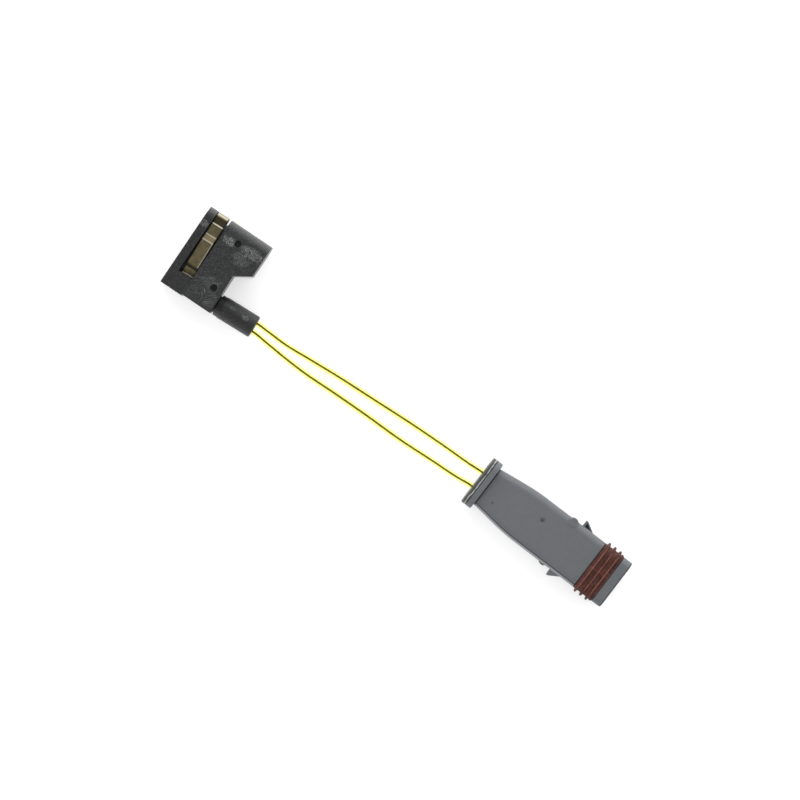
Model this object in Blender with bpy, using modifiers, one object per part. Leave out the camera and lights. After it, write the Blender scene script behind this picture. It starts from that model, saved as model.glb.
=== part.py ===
"""Brake pad wear sensor: a contact head with its spring clip, two leads and a sealed plug.

Lengths are in metres and +Z is up. X runs from the head to the plug, and Y across it. The head and the plug
lie flat, and the origin is on the underside of the head, at half its height.
"""

import math

import bmesh
import bpy
from mathutils import Matrix, Vector

MM = 0.001

# Clearances between pieces that fit each other
SEAT_GAP = 0.12 * MM
BORE_GAP = 0.08 * MM
CORE_GAP = 0.10 * MM

# Contact head, measured from the foot corner of its strip
HEAD_CORNER_X = -9.0 * MM
HEAD_HEIGHT = 18.1 * MM
HEAD_THICKNESS = 8.0 * MM
HEAD_END_RADIUS = 2.2 * MM
HEAD_EDGE = 0.18 * MM
STRIP_WIDTH = 1.8 * MM
GROOVE_WIDTH = 3.2 * MM
GROOVE_FLOOR_Y = 3.8 * MM
NECK_THICKNESS = 4.0 * MM
NECK_END_DROP = 1.3 * MM
NECK_END_RADIUS = 1.2 * MM
BLOCK_WIDTH = 9.75 * MM
FOOT_WIDTH = 6.72 * MM
WAIST_WIDTH = 6.5 * MM
WAIST_Y = 9.0 * MM
SHOULDER_Y = 11.1 * MM
BLOCK_FOOT_LIFT = 0.25 * MM
FOOT_NOTCH_WIDTH = 0.3 * MM
FOOT_NOTCH_DEPTH = 0.4 * MM
MOULD_PIN_DIAMETER = 1.4 * MM
MOULD_PIN_DEPTH = 1.2 * MM
MOULD_PIN_PLACES = ((8.7 * MM, 14.8 * MM), (9.6 * MM, 4.9 * MM))

# Spring clip, a ribbon whose leaves lie along both faces of the neck. It is slack in the groove and lies
# cornerwise in it, with its toes by the block and its bend by the strip.
CLIP_WIDTH = 2.45 * MM
CLIP_THICKNESS = 0.3 * MM
CLIP_SIDE_GAP = 0.1 * MM
CLIP_BEND_RADIUS = 1.7 * MM
CLIP_CORNER_RADIUS = 0.25 * MM
CLIP_PAD_SINK = 0.4 * MM
CLIP_SEAT_LENGTH = 1.1 * MM
CLIP_RAMP_LENGTH = 2.5 * MM
CLIP_RAMP_RISE = 0.55
CLIP_STEP_LENGTH = 1.3 * MM
CLIP_PAD_LENGTH = 5.7 * MM
CLIP_DROP_LENGTH = 0.5 * MM
CLIP_DROP_RISE = 0.35
CLIP_TOE_HOOK = 0.25 * MM
TOE_POCKET_DEPTH = 0.5 * MM
TOE_POCKET_LENGTH = 0.75 * MM

# Tail sleeve, turned a little from the head's own direction
TAIL_ROOT_X = 11.9 * MM
TAIL_AXIS_Y = 2.54 * MM
TAIL_ANGLE = math.radians(2.2)
TAIL_DIAMETER = 4.7 * MM
TAIL_LENGTH = 8.7 * MM
TAIL_BAND_DIAMETER = 4.5 * MM
TAIL_BAND_LENGTH = 1.0 * MM
TAIL_EDGE = 0.35 * MM
SPIGOT_DIAMETER = 3.7 * MM
SPIGOT_LENGTH = 1.3 * MM

# Leads
LEAD_DIAMETER = 1.2 * MM
INSULATION_WALL = 0.3 * MM
CONDUCTOR_DIAMETER = 0.4 * MM
TAIL_LEAD_PITCH = 1.84 * MM
LEAD_POINT_SPACING = 3.0 * MM
INSULATION_OVERHANG = 0.1 * MM

# The free stretch of each lead between tail and plug, read from the photograph in plan: a lead dips to the
# surface that the sensor lies on and rises again
UPPER_LEAD_POINTS = (
    (14.5 * MM, -5.38 * MM, 3.75 * MM),
    (18.5 * MM, -5.58 * MM, 2.75 * MM),
    (24.0 * MM, -5.32 * MM, 1.35 * MM),
    (31.0 * MM, -4.98 * MM, 0.74 * MM),
    (40.0 * MM, -4.78 * MM, 0.70 * MM),
    (49.0 * MM, -4.60 * MM, 0.90 * MM),
    (57.0 * MM, -4.64 * MM, 2.30 * MM),
    (62.5 * MM, -4.76 * MM, 3.60 * MM),
)
LOWER_LEAD_POINTS = (
    (15.5 * MM, -7.42 * MM, 3.65 * MM),
    (20.0 * MM, -7.86 * MM, 2.45 * MM),
    (25.0 * MM, -8.18 * MM, 1.25 * MM),
    (32.0 * MM, -8.18 * MM, 0.74 * MM),
    (40.0 * MM, -8.28 * MM, 0.70 * MM),
    (48.5 * MM, -8.54 * MM, 0.92 * MM),
    (56.0 * MM, -8.42 * MM, 2.20 * MM),
    (62.0 * MM, -8.36 * MM, 3.60 * MM),
)

# Sensing loop and the sleeves that join it to the leads
LOOP_DIAMETER = 0.6 * MM
LOOP_BEND_RADIUS = 0.9 * MM
LOOP_INNER_BACK = 4.6 * MM
LOOP_OUTER_BACK = 6.0 * MM
LOOP_TURN_Y = 12.6 * MM
LOOP_TOP_Y = 15.6 * MM
LOOP_TIP_DEPTH = 1.45 * MM
SPLICE_DIAMETER = 1.3 * MM
SPLICE_LENGTH = 2.2 * MM
SPLICE_CHAMFER = 0.15 * MM

# Plug, measured along its own axis from the outer face of its rear cap
PLUG_X = 65.7 * MM
PLUG_Y = -6.45 * MM
PLUG_ANGLE = math.radians(-3.4)
LEAD_PITCH = 3.45 * MM
FLANGE_WIDTH = 10.95 * MM
FLANGE_HEIGHT = 8.0 * MM
FLANGE_CORNER = 2.3 * MM
FLANGE_EDGE = 0.2 * MM
CAP_THICKNESS = 0.9 * MM
FLANGE_THICKNESS = 1.25 * MM
CAP_SPIGOT_LENGTH = 0.6 * MM
CAP_HOLE_GAP = 0.12 * MM

BODY_LENGTH = 25.8 * MM
BODY_WIDTH = 10.9 * MM
BODY_HEIGHT = 6.8 * MM
BODY_CORNER = 2.4 * MM
BODY_REAR_WIDTH = 8.8 * MM
BODY_REAR_HEIGHT = 6.0 * MM
BODY_FLARE_LENGTH = 10.8 * MM
FLARE_START_SLOPE = 1.15
BODY_FRONT_EDGE = 0.25 * MM

BOSS_DIAMETER = 2.0 * MM
BOSS_BACK = 7.7 * MM
BOSS_PROUD = 0.35 * MM
BOSS_RISE = 0.1 * MM
BOSS_LENGTH = 4.5 * MM
BOSS_EDGE = 0.25 * MM
BARB_BACK = 5.7 * MM
BARB_LENGTH = 2.5 * MM
BARB_HEIGHT = 1.3 * MM
BARB_TIP = 0.35 * MM
BARB_THICKNESS = 2.4 * MM
GATE_X = 15.1 * MM
GATE_Y = 1.4 * MM
GATE_DIAMETER = 1.2 * MM
GATE_DEPTH = 0.12 * MM

CORE_WIDTH = 9.0 * MM
CORE_HEIGHT = 4.9 * MM
CORE_CORNER = 1.8 * MM
SEAL_LENGTH = 4.4 * MM
SEAL_RIB_COUNT = 3
SEAL_RIB_PITCH = 1.32 * MM
SEAL_RIB_HEIGHT = 0.6 * MM
SEAL_RIB_WIDTH = 0.5 * MM
SEAL_RIB_CREST = 0.14 * MM
SEAL_FIRST_RIB = 0.75 * MM
SEAL_BEAD_HEIGHT = 0.2 * MM
NOSE_LENGTH = 2.1 * MM
NOSE_FRONT_WALL = 0.9 * MM
NOSE_EDGE = 0.3 * MM
MOUTH_SIZE = 1.5 * MM
MOUTH_FLARE = 0.25 * MM
MOUTH_CORNER = 0.15 * MM

# Wire seals and terminals inside the plug
SEAL_BORE_DIAMETER = 3.0 * MM
WIRE_SEAL_LENGTH = 5.0 * MM
WIRE_SEAL_ROOT = 2.3 * MM
WIRE_SEAL_RIBS = 3
WIRE_SEAL_RIB_WIDTH = 1.1 * MM
WIRE_SEAL_RIB_CREST = 0.28 * MM
CAVITY_WIDTH = 2.5 * MM
CAVITY_HEIGHT = 2.7 * MM
SHEET = 0.25 * MM
BOX_WIDTH = 1.9 * MM
BOX_HEIGHT = 2.1 * MM
BOX_LENGTH = 11.0 * MM
BOX_FRONT_GAP = 1.5 * MM
STRIP_PLATE_WIDTH = 1.3 * MM
STRIP_PLATE_INSET = 0.06 * MM
BARREL_INSET = 0.12 * MM
INSULATION_BARREL_LENGTH = 2.0 * MM
BARREL_SPACING = 1.7 * MM
CONDUCTOR_BARREL_LENGTH = 2.2 * MM
CONDUCTOR_BARREL_WIDTH = 1.1 * MM
TONGUE_WIDTH = 0.9 * MM
TONGUE_THICKNESS = 0.15 * MM
TONGUE_START = 0.5 * MM
TONGUE_PEAK = 3.2 * MM
TONGUE_END = 5.6 * MM
TONGUE_RISE = 0.4 * MM
TONGUE_END_RISE = 0.15 * MM
SPRING_WALL = 0.12 * MM
SPRING_LENGTH = 9.0 * MM
SPRING_SETBACK = 1.0 * MM
SPRING_GAP = 0.05 * MM

# How finely round forms are divided
TURN_STEPS = 28
HOLE_STEPS = 16
FINE_HOLE_STEPS = 8
CORNER_STEPS = 6
MOUTH_CORNER_STEPS = 2
FLARE_STEPS = 8
HEAD_END_STEPS = 8
NECK_END_STEPS = 6
TAIL_EDGE_STEPS = 4
LOOP_BEND_STEPS = 4
CLIP_CORNER_STEPS = 3
CLIP_BEND_STEPS = 9
ROUTE_STEPS = 20

# The share of a path's shorter side that the arc at its corner may take
ARC_ROOM = 0.49

# Places worked out from the sizes above
HEAD_CORNER_Y = -HEAD_HEIGHT / 2
HEAD_MID_Z = HEAD_THICKNESS / 2
BLOCK_X = STRIP_WIDTH + GROOVE_WIDTH
NECK_END_Y = HEAD_HEIGHT - NECK_END_DROP
CLIP_LEAN = math.asin((GROOVE_WIDTH - CLIP_WIDTH - 2 * CLIP_SIDE_GAP) / (HEAD_HEIGHT - GROOVE_FLOOR_Y))
CLIP_AXIS_X = STRIP_WIDTH + GROOVE_WIDTH / 2 + (GROOVE_FLOOR_Y + HEAD_HEIGHT) / 2 * math.tan(CLIP_LEAN)
GROOVE_DEPTH = (HEAD_THICKNESS - NECK_THICKNESS) / 2
CUT_PAST = 1.0 * MM
FLANGE_X = CAP_THICKNESS + SEAT_GAP
BODY_X = FLANGE_X + FLANGE_THICKNESS
BODY_END_X = BODY_X + BODY_LENGTH
SEAL_X = BODY_END_X + SEAT_GAP
NOSE_X = SEAL_X + SEAL_LENGTH + SEAT_GAP
NOSE_END_X = NOSE_X + NOSE_LENGTH
CORE_END_X = NOSE_END_X - NOSE_FRONT_WALL - SEAT_GAP
WIRE_SEAL_X = FLANGE_X + CAP_SPIGOT_LENGTH + SEAT_GAP
WIRE_SEAL_END_X = WIRE_SEAL_X + WIRE_SEAL_LENGTH
SEAL_BORE_END_X = WIRE_SEAL_END_X + SEAT_GAP
BOX_END_X = CORE_END_X - BOX_FRONT_GAP
SPLICE_START = -SPIGOT_LENGTH - INSULATION_OVERHANG - 2 * SEAT_GAP
SPLICE_END = SPLICE_START - SPLICE_LENGTH
SPLICE_MIDDLE = (SPLICE_START + SPLICE_END) / 2
INSULATION_BARREL_X = WIRE_SEAL_END_X + SEAT_GAP
INSULATION_BARREL_END_X = INSULATION_BARREL_X + INSULATION_BARREL_LENGTH
CONDUCTOR_BARREL_X = INSULATION_BARREL_END_X + BARREL_SPACING
CONDUCTOR_BARREL_END_X = CONDUCTOR_BARREL_X + CONDUCTOR_BARREL_LENGTH


def srgb(red, green, blue):
    """The linear colour of three screen values from 0 to 255."""
    def linear(value):
        value /= 255
        return value / 12.92 if value <= 0.04045 else ((value + 0.055) / 1.055) ** 2.4

    return (linear(red), linear(green), linear(blue), 1.0)


FINISHES = {
    "black_nylon": (srgb(55, 58, 62), 0.45, 0.0),
    "bronze": (srgb(150, 128, 82), 0.32, 1.0),
    "copper": (srgb(184, 115, 80), 0.30, 1.0),
    "tinned_brass": (srgb(196, 184, 150), 0.30, 1.0),
    "yellow_jacket": (srgb(220, 205, 60), 0.35, 0.0),
    "dark_strands": (srgb(70, 66, 40), 0.45, 0.6),
    "grey_nylon": (srgb(108, 113, 116), 0.50, 0.0),
    "grey_cap": (srgb(118, 119, 121), 0.55, 0.0),
    "red_silicone": (srgb(110, 62, 54), 0.60, 0.0),
    "orange_silicone": (srgb(190, 104, 52), 0.60, 0.0),
    "spring_steel": (srgb(150, 152, 156), 0.28, 1.0),
}


def clear_scene():
    for obj in list(bpy.data.objects):
        bpy.data.objects.remove(obj, do_unlink=True)


def new_collection(name):
    collection = bpy.data.collections.new(name)
    bpy.context.scene.collection.children.link(collection)
    return collection


def finish(obj, finish_name):
    """Gives the object its own Principled material."""
    colour, roughness, metallic = FINISHES[finish_name]
    material = bpy.data.materials.new(obj.name + "_" + finish_name)
    material.use_nodes = True
    shader = material.node_tree.nodes["Principled BSDF"]
    shader.inputs["Base Color"].default_value = colour
    shader.inputs["Roughness"].default_value = roughness
    shader.inputs["Metallic"].default_value = metallic
    material.diffuse_color = colour
    obj.data.materials.clear()
    obj.data.materials.append(material)


def add(name, data, parent=None):
    obj = bpy.data.objects.new(name, data)
    parts.objects.link(obj)
    obj.parent = parent
    return obj


def helper(obj):
    """Turns an object into a hidden tool for cutting or joining."""
    parts.objects.unlink(obj)
    tools.objects.link(obj)
    obj.hide_render = True
    obj.display_type = "WIRE"
    return obj


def axis(name, x, y, z, angle):
    """An empty whose X is the axis of the pieces placed on it."""
    empty = add(name, None)
    empty.location = (x, y, z)
    empty.rotation_euler = (0.0, 0.0, angle)
    return empty


def from_bmesh(name, bm, parent=None):
    bmesh.ops.recalc_face_normals(bm, faces=bm.faces)
    mesh = bpy.data.meshes.new(name)
    bm.to_mesh(mesh)
    bm.free()
    return add(name, mesh, parent)


def as_mesh(obj):
    """The object's evaluated form as a mesh object in its place, with a curve's loose caps welded on."""
    bpy.context.view_layer.update()
    graph = bpy.context.evaluated_depsgraph_get()
    mesh = bpy.data.meshes.new_from_object(obj.evaluated_get(graph))
    bm = bmesh.new()
    bm.from_mesh(mesh)
    bmesh.ops.remove_doubles(bm, verts=bm.verts, dist=1e-7)
    bmesh.ops.recalc_face_normals(bm, faces=bm.faces)
    bm.to_mesh(mesh)
    bm.free()
    name = obj.name
    place = obj.matrix_world.copy()
    bpy.data.objects.remove(obj, do_unlink=True)
    made = add(name, mesh)
    made.matrix_world = place
    return made


def boolean(obj, operation, *others):
    for other in others:
        modifier = obj.modifiers.new(operation.lower() + "_" + other.name, "BOOLEAN")
        modifier.operation = operation
        modifier.solver = "EXACT"
        modifier.object = other


def cut(obj, *cutters):
    boolean(obj, "DIFFERENCE", *(helper(cutter) for cutter in cutters))


def join(obj, *others):
    boolean(obj, "UNION", *(helper(other) for other in others))


def round_edges(obj, width, segments=2, angle=math.radians(40)):
    bevel = obj.modifiers.new("edges", "BEVEL")
    bevel.width = width
    bevel.segments = segments
    bevel.limit_method = "ANGLE"
    bevel.angle_limit = angle
    bevel.use_clamp_overlap = True


def smooth(obj, angle=math.radians(35)):
    obj.data.shade_smooth()
    obj.data.set_sharp_from_angle(angle=angle)


def box(name, low, high, parent=None):
    """A block between two opposite corners."""
    low = Vector(low)
    high = Vector(high)
    bm = bmesh.new()
    place = Matrix.Translation((low + high) / 2) @ Matrix.Diagonal((*(high - low), 1.0))
    bmesh.ops.create_cube(bm, size=1.0, matrix=place)
    return from_bmesh(name, bm, parent)


def rod(name, radius, start, end, parent=None, steps=HOLE_STEPS):
    """A straight round bar between two points."""
    start = Vector(start)
    end = Vector(end)
    along = end - start
    turn = Vector((0.0, 0.0, 1.0)).rotation_difference(along).to_matrix().to_4x4()
    bm = bmesh.new()
    bmesh.ops.create_cone(
        bm,
        cap_ends=True,
        segments=steps,
        radius1=radius,
        radius2=radius,
        depth=along.length,
        matrix=Matrix.Translation((start + end) / 2) @ turn,
    )
    return from_bmesh(name, bm, parent)


def spline_of(curve, points, cyclic):
    spline = curve.splines.new("POLY")
    spline.points.add(len(points) - 1)
    for slot, point in zip(spline.points, points):
        slot.co = (*Vector(point).to_3d(), 1.0)
    spline.use_cyclic_u = cyclic


def plate(name, outline, low, high, plane="XY", parent=None):
    """A flat outline carried from low to high across its plane, which is XY, YZ or XZ."""
    curve = bpy.data.curves.new(name, "CURVE")
    curve.dimensions = "2D"
    curve.fill_mode = "BOTH"
    curve.extrude = (high - low) / 2
    spline_of(curve, outline, True)
    made = as_mesh(add(name, curve))
    middle = (low + high) / 2
    upright = Matrix.Rotation(math.pi / 2, 4, "X")
    if plane == "YZ":
        place = Matrix.Translation((middle, 0.0, 0.0)) @ Matrix.Rotation(math.pi / 2, 4, "Z") @ upright
    elif plane == "XZ":
        place = Matrix.Translation((0.0, middle, 0.0)) @ upright
    else:
        place = Matrix.Translation((0.0, 0.0, middle))
    made.data.transform(place)
    made.matrix_world = Matrix.Identity(4)
    made.parent = parent
    return made


def tube(name, points, radius, sides=2, caps=True):
    """A round bar carried along a path."""
    curve = bpy.data.curves.new(name, "CURVE")
    curve.dimensions = "3D"
    curve.bevel_depth = radius
    curve.bevel_resolution = sides
    curve.use_fill_caps = caps
    spline_of(curve, points, False)
    return add(name, curve)


def turned(name, profile, parent=None, steps=TURN_STEPS):
    """A closed outline of (along, radius) pairs turned round X, with its outer side from front to rear."""
    mesh = bpy.data.meshes.new(name)
    count = len(profile)
    mesh.from_pydata(
        [(radius, 0.0, along) for along, radius in profile],
        [(i, (i + 1) % count) for i in range(count)],
        [],
    )
    obj = add(name, mesh, parent)
    screw = obj.modifiers.new("turn", "SCREW")
    screw.axis = "Z"
    screw.steps = steps
    screw.render_steps = steps
    screw.use_merge_vertices = True
    screw.merge_threshold = 1e-7
    screw.use_smooth_shade = True
    obj.rotation_euler = (0.0, math.pi / 2, 0.0)
    return obj


def arc(centre, radius, start, end, steps):
    """Points on a circle from one angle to another, in degrees."""
    angles = [math.radians(start + (end - start) * i / steps) for i in range(steps + 1)]
    return [(centre[0] + radius * math.cos(a), centre[1] + radius * math.sin(a)) for a in angles]


def rounded_rectangle(width, height, corner, steps=CORNER_STEPS):
    """The corner points of a rectangle with round corners, as (y, z) pairs round its centre."""
    y = width / 2 - corner
    z = height / 2 - corner
    points = []
    for turn, (side_y, side_z) in enumerate(((y, z), (-y, z), (-y, -z), (y, -z))):
        points += arc((side_y, side_z), corner, 90 * turn, 90 * turn + 90, steps)
    return points


def rounded_path(points, radius, steps):
    """The path with an arc of this radius for each inner corner, or a smaller one where a side is short."""
    points = [Vector(point) for point in points]
    path = [points[0]]
    for before, corner, after in zip(points, points[1:], points[2:]):
        back = (before - corner).normalized()
        on = (after - corner).normalized()
        half = back.angle(on) / 2
        room = ARC_ROOM * min((before - corner).length, (after - corner).length)
        reach = min(radius / math.tan(half), room)
        bend = reach * math.tan(half)
        centre = corner + (back + on).normalized() * (bend / math.sin(half))
        first = corner + back * reach - centre
        last = corner + on * reach - centre
        sweep = first.angle(last)
        for i in range(steps + 1):
            share = i / steps
            mix = math.sin((1 - share) * sweep) * first + math.sin(share * sweep) * last
            path.append(centre + mix / math.sin(sweep))
    path.append(points[-1])
    return path


def loft(name, sections, parent=None, steps=CORNER_STEPS):
    """A skin over rounded rectangles of (x, width, height, corner), with both ends closed."""
    bm = bmesh.new()
    rings = []
    for x, width, height, corner in sections:
        outline = rounded_rectangle(width, height, corner, steps)
        rings.append([bm.verts.new((x, y, z)) for y, z in outline])
    for ring, following in zip(rings, rings[1:]):
        count = len(ring)
        for i in range(count):
            j = (i + 1) % count
            bm.faces.new((ring[i], ring[j], following[j], following[i]))
    bm.faces.new(rings[0])
    bm.faces.new(rings[-1])
    return from_bmesh(name, bm, parent)


def edged_block(name, low, high, width, height, corner, edges, parent=None):
    """A loft of one section whose rims at the low and high end are rounded by the two edges."""
    sections = []
    for x, edge, way in ((low, edges[0], 1), (high, edges[1], -1)):
        rim = []
        for share in (0.0, 0.5, 1.0):
            angle = share * math.pi / 2
            inset = edge * (1 - math.sin(angle))
            along = edge * (1 - math.cos(angle))
            rim.append((x + way * along, width - 2 * inset, height - 2 * inset, corner - inset))
        if edge == 0.0:
            rim = rim[:1]
        sections += rim if way == 1 else rim[::-1]
    return loft(name, sections, parent)


def head_blank():
    """The head before it is cut: its side view with rounded ends, carried across its full width."""
    end = HEAD_HEIGHT - HEAD_END_RADIUS
    top = HEAD_THICKNESS - HEAD_END_RADIUS
    side = [(0.0, HEAD_THICKNESS), (0.0, 0.0)]
    side += arc((end, HEAD_END_RADIUS), HEAD_END_RADIUS, -90, 0, HEAD_END_STEPS)
    side += arc((end, top), HEAD_END_RADIUS, 0, 90, HEAD_END_STEPS)
    blank = plate("head_body", side, 0.0, BLOCK_X + BLOCK_WIDTH, "YZ", head_datum)
    round_edges(blank, HEAD_EDGE)
    return blank


def waist_cutter():
    """Takes away the corner beside the tail, up to the slanted shoulder."""
    slope = (SHOULDER_Y - WAIST_Y) / (BLOCK_WIDTH - WAIST_WIDTH)
    far = BLOCK_X + BLOCK_WIDTH + CUT_PAST
    lean = (FOOT_WIDTH - WAIST_WIDTH) / WAIST_Y
    outline = [
        (BLOCK_X + FOOT_WIDTH + lean * CUT_PAST, -CUT_PAST),
        (far, -CUT_PAST),
        (far, SHOULDER_Y + slope * CUT_PAST),
        (BLOCK_X + WAIST_WIDTH, WAIST_Y),
    ]
    return plate("waist_cutter", outline, -CUT_PAST, HEAD_THICKNESS + CUT_PAST, "XY", head_datum)


def groove_cutter():
    """Leaves the neck: a groove in each face, open round the rounded end, with a pocket for each toe."""
    top = HEAD_MID_Z + NECK_THICKNESS / 2
    low = HEAD_MID_Z - NECK_THICKNESS / 2
    end = NECK_END_Y - NECK_END_RADIUS
    pocket_end = GROOVE_FLOOR_Y + TOE_POCKET_LENGTH
    outline = [
        (GROOVE_FLOOR_Y, HEAD_THICKNESS + CUT_PAST),
        (GROOVE_FLOOR_Y, top - TOE_POCKET_DEPTH),
        (pocket_end, top - TOE_POCKET_DEPTH),
        (pocket_end, top),
    ]
    outline += arc((end, top - NECK_END_RADIUS), NECK_END_RADIUS, 90, 0, NECK_END_STEPS)
    outline += arc((end, low + NECK_END_RADIUS), NECK_END_RADIUS, 0, -90, NECK_END_STEPS)
    outline += [
        (pocket_end, low),
        (pocket_end, low + TOE_POCKET_DEPTH),
        (GROOVE_FLOOR_Y, low + TOE_POCKET_DEPTH),
        (GROOVE_FLOOR_Y, -CUT_PAST),
        (HEAD_HEIGHT + CUT_PAST, -CUT_PAST),
        (HEAD_HEIGHT + CUT_PAST, HEAD_THICKNESS + CUT_PAST),
    ]
    return plate("groove_cutter", outline, STRIP_WIDTH, BLOCK_X, "YZ", head_datum)


def foot_cutters():
    """The lifted foot of the block, and the two fine notches at the ends of the neck's foot."""
    past = HEAD_THICKNESS + CUT_PAST
    lift = box(
        "foot_lift_cutter",
        (BLOCK_X + FOOT_NOTCH_WIDTH / 2, -CUT_PAST, -CUT_PAST),
        (BLOCK_X + BLOCK_WIDTH, BLOCK_FOOT_LIFT, past),
        head_datum,
    )
    notches = [
        box(
            "foot_notch_cutter",
            (x - FOOT_NOTCH_WIDTH / 2, -CUT_PAST, -CUT_PAST),
            (x + FOOT_NOTCH_WIDTH / 2, FOOT_NOTCH_DEPTH, past),
            head_datum,
        )
        for x in (STRIP_WIDTH + FOOT_NOTCH_WIDTH / 2, BLOCK_X + FOOT_NOTCH_WIDTH / 2)
    ]
    return [lift, *notches]


def mould_pin_cutters():
    floor = HEAD_THICKNESS - MOULD_PIN_DEPTH
    return [
        rod(
            "mould_pin_cutter",
            MOULD_PIN_DIAMETER / 2,
            (x, y, floor),
            (x, y, HEAD_THICKNESS + CUT_PAST),
            head_datum,
        )
        for x, y in MOULD_PIN_PLACES
    ]


def tail_point(along, across):
    """A place on the tail's axis, or beside it, in the head's own coordinates."""
    turn = Matrix.Rotation(TAIL_ANGLE, 3, "Z")
    return Vector((TAIL_ROOT_X, TAIL_AXIS_Y, HEAD_MID_Z)) + turn @ Vector((along, across, 0.0))


def loop_path():
    """The sensing loop's route: from one splice out to the rubbed end and back to the other splice."""
    half = TAIL_LEAD_PITCH / 2
    inner = tail_point(-LOOP_INNER_BACK, half)
    outer = tail_point(-LOOP_OUTER_BACK, -half)
    tip_x = BLOCK_X + BLOCK_WIDTH - LOOP_TIP_DEPTH
    corners = [
        tail_point(SPLICE_MIDDLE - SEAT_GAP, half),
        inner,
        (inner.x, LOOP_TURN_Y, HEAD_MID_Z),
        (tip_x, LOOP_TURN_Y, HEAD_MID_Z),
        (tip_x, LOOP_TOP_Y, HEAD_MID_Z),
        (outer.x, LOOP_TOP_Y, HEAD_MID_Z),
        outer,
        tail_point(SPLICE_MIDDLE - SEAT_GAP, -half),
    ]
    return rounded_path(corners, LOOP_BEND_RADIUS, LOOP_BEND_STEPS)


def head_channels():
    """The hollow that holds the loop, its splices and the tail's spigot."""
    channel = as_mesh(tube("loop_channel", loop_path(), LOOP_DIAMETER / 2 + CORE_GAP))
    channel.parent = head_datum
    room = SPLICE_DIAMETER / 2 + CORE_GAP
    half = TAIL_LEAD_PITCH / 2 + room
    pocket = box(
        "splice_pocket",
        (SPLICE_END - CORE_GAP, -half, -room),
        (-SPIGOT_LENGTH, half, room),
        tail_axis,
    )
    socket_radius = SPIGOT_DIAMETER / 2 + BORE_GAP
    socket = rod(
        "tail_socket",
        socket_radius,
        (-SPIGOT_LENGTH - SEAT_GAP, 0.0, 0.0),
        (CUT_PAST, 0.0, 0.0),
        tail_axis,
        TURN_STEPS,
    )
    return [channel, pocket, socket]


def make_head_body():
    body = head_blank()
    cut(body, waist_cutter(), groove_cutter(), *foot_cutters(), *mould_pin_cutters(), *head_channels())
    smooth(body)
    finish(body, "black_nylon")


def clip_leaf():
    """The upper leaf's centreline from toe to neck end, as (y, height over the neck's face) pairs."""
    half = CLIP_THICKNESS / 2
    seat = half + SEAT_GAP
    pad = GROOVE_DEPTH - CLIP_PAD_SINK - half
    toe_y = GROOVE_FLOOR_Y + SEAT_GAP + half
    seat_y = NECK_END_Y - CLIP_SEAT_LENGTH
    ramp_y = seat_y - CLIP_RAMP_LENGTH
    pad_end_y = ramp_y - CLIP_STEP_LENGTH
    pad_start_y = pad_end_y - CLIP_PAD_LENGTH
    return [
        (toe_y, -CLIP_TOE_HOOK),
        (toe_y, seat),
        (pad_start_y - CLIP_DROP_LENGTH, seat + CLIP_DROP_RISE * (pad - seat)),
        (pad_start_y, pad),
        (pad_end_y, pad),
        (ramp_y, seat + CLIP_RAMP_RISE * (pad - seat)),
        (seat_y, seat),
    ]


def make_spring_clip():
    """One ribbon: the upper leaf, a round bend past the neck's end, and the same leaf below."""
    half_neck = NECK_THICKNESS / 2
    bend_y = HEAD_HEIGHT - CLIP_THICKNESS / 2
    upper = [(y, half_neck + height, 0.0) for y, height in clip_leaf()]
    seat_z = upper[-1][1]
    upper.append((bend_y - CLIP_BEND_RADIUS, seat_z, 0.0))
    upper = rounded_path(upper, CLIP_CORNER_RADIUS, CLIP_CORNER_STEPS)
    bend = rounded_path(
        [
            (bend_y - CLIP_BEND_RADIUS, seat_z, 0.0),
            (bend_y, seat_z, 0.0),
            (bend_y, -seat_z, 0.0),
            (bend_y - CLIP_BEND_RADIUS, -seat_z, 0.0),
        ],
        CLIP_BEND_RADIUS,
        CLIP_BEND_STEPS,
    )
    lower = [Vector((point.x, -point.y, 0.0)) for point in reversed(upper)]
    curve = bpy.data.curves.new("spring_clip", "CURVE")
    curve.dimensions = "2D"
    curve.fill_mode = "NONE"
    curve.extrude = CLIP_WIDTH / 2
    spline_of(curve, [*upper[:-1], *bend, *lower[1:]], False)
    clip = as_mesh(add("spring_clip", curve))
    clip.parent = clip_axis
    clip.matrix_basis = Matrix.Rotation(math.pi / 2, 4, "Z") @ Matrix.Rotation(math.pi / 2, 4, "X")
    sheet = clip.modifiers.new("sheet", "SOLIDIFY")
    sheet.thickness = CLIP_THICKNESS
    sheet.offset = 0.0
    sheet.use_even_offset = True
    smooth(clip)
    finish(clip, "bronze")


def make_sensing_loop():
    loop = as_mesh(tube("sensing_loop", loop_path(), LOOP_DIAMETER / 2))
    loop.parent = head_datum
    smooth(loop)
    finish(loop, "copper")


def make_splice_sleeve(number, side):
    """A crimped sleeve, bored wider for the loop's end and narrower for the lead's strands."""
    outer = SPLICE_DIAMETER / 2
    wide = LOOP_DIAMETER / 2 + BORE_GAP
    narrow = CONDUCTOR_DIAMETER / 2 + BORE_GAP
    profile = [
        (SPLICE_START, outer - SPLICE_CHAMFER),
        (SPLICE_START - SPLICE_CHAMFER, outer),
        (SPLICE_END + SPLICE_CHAMFER, outer),
        (SPLICE_END, outer - SPLICE_CHAMFER),
        (SPLICE_END, wide),
        (SPLICE_MIDDLE, wide),
        (SPLICE_MIDDLE, narrow),
        (SPLICE_START, narrow),
    ]
    sleeve = turned(f"splice_sleeve_{number}", profile, tail_axis, HOLE_STEPS)
    sleeve.location.y = side * TAIL_LEAD_PITCH / 2
    finish(sleeve, "copper")


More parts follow.
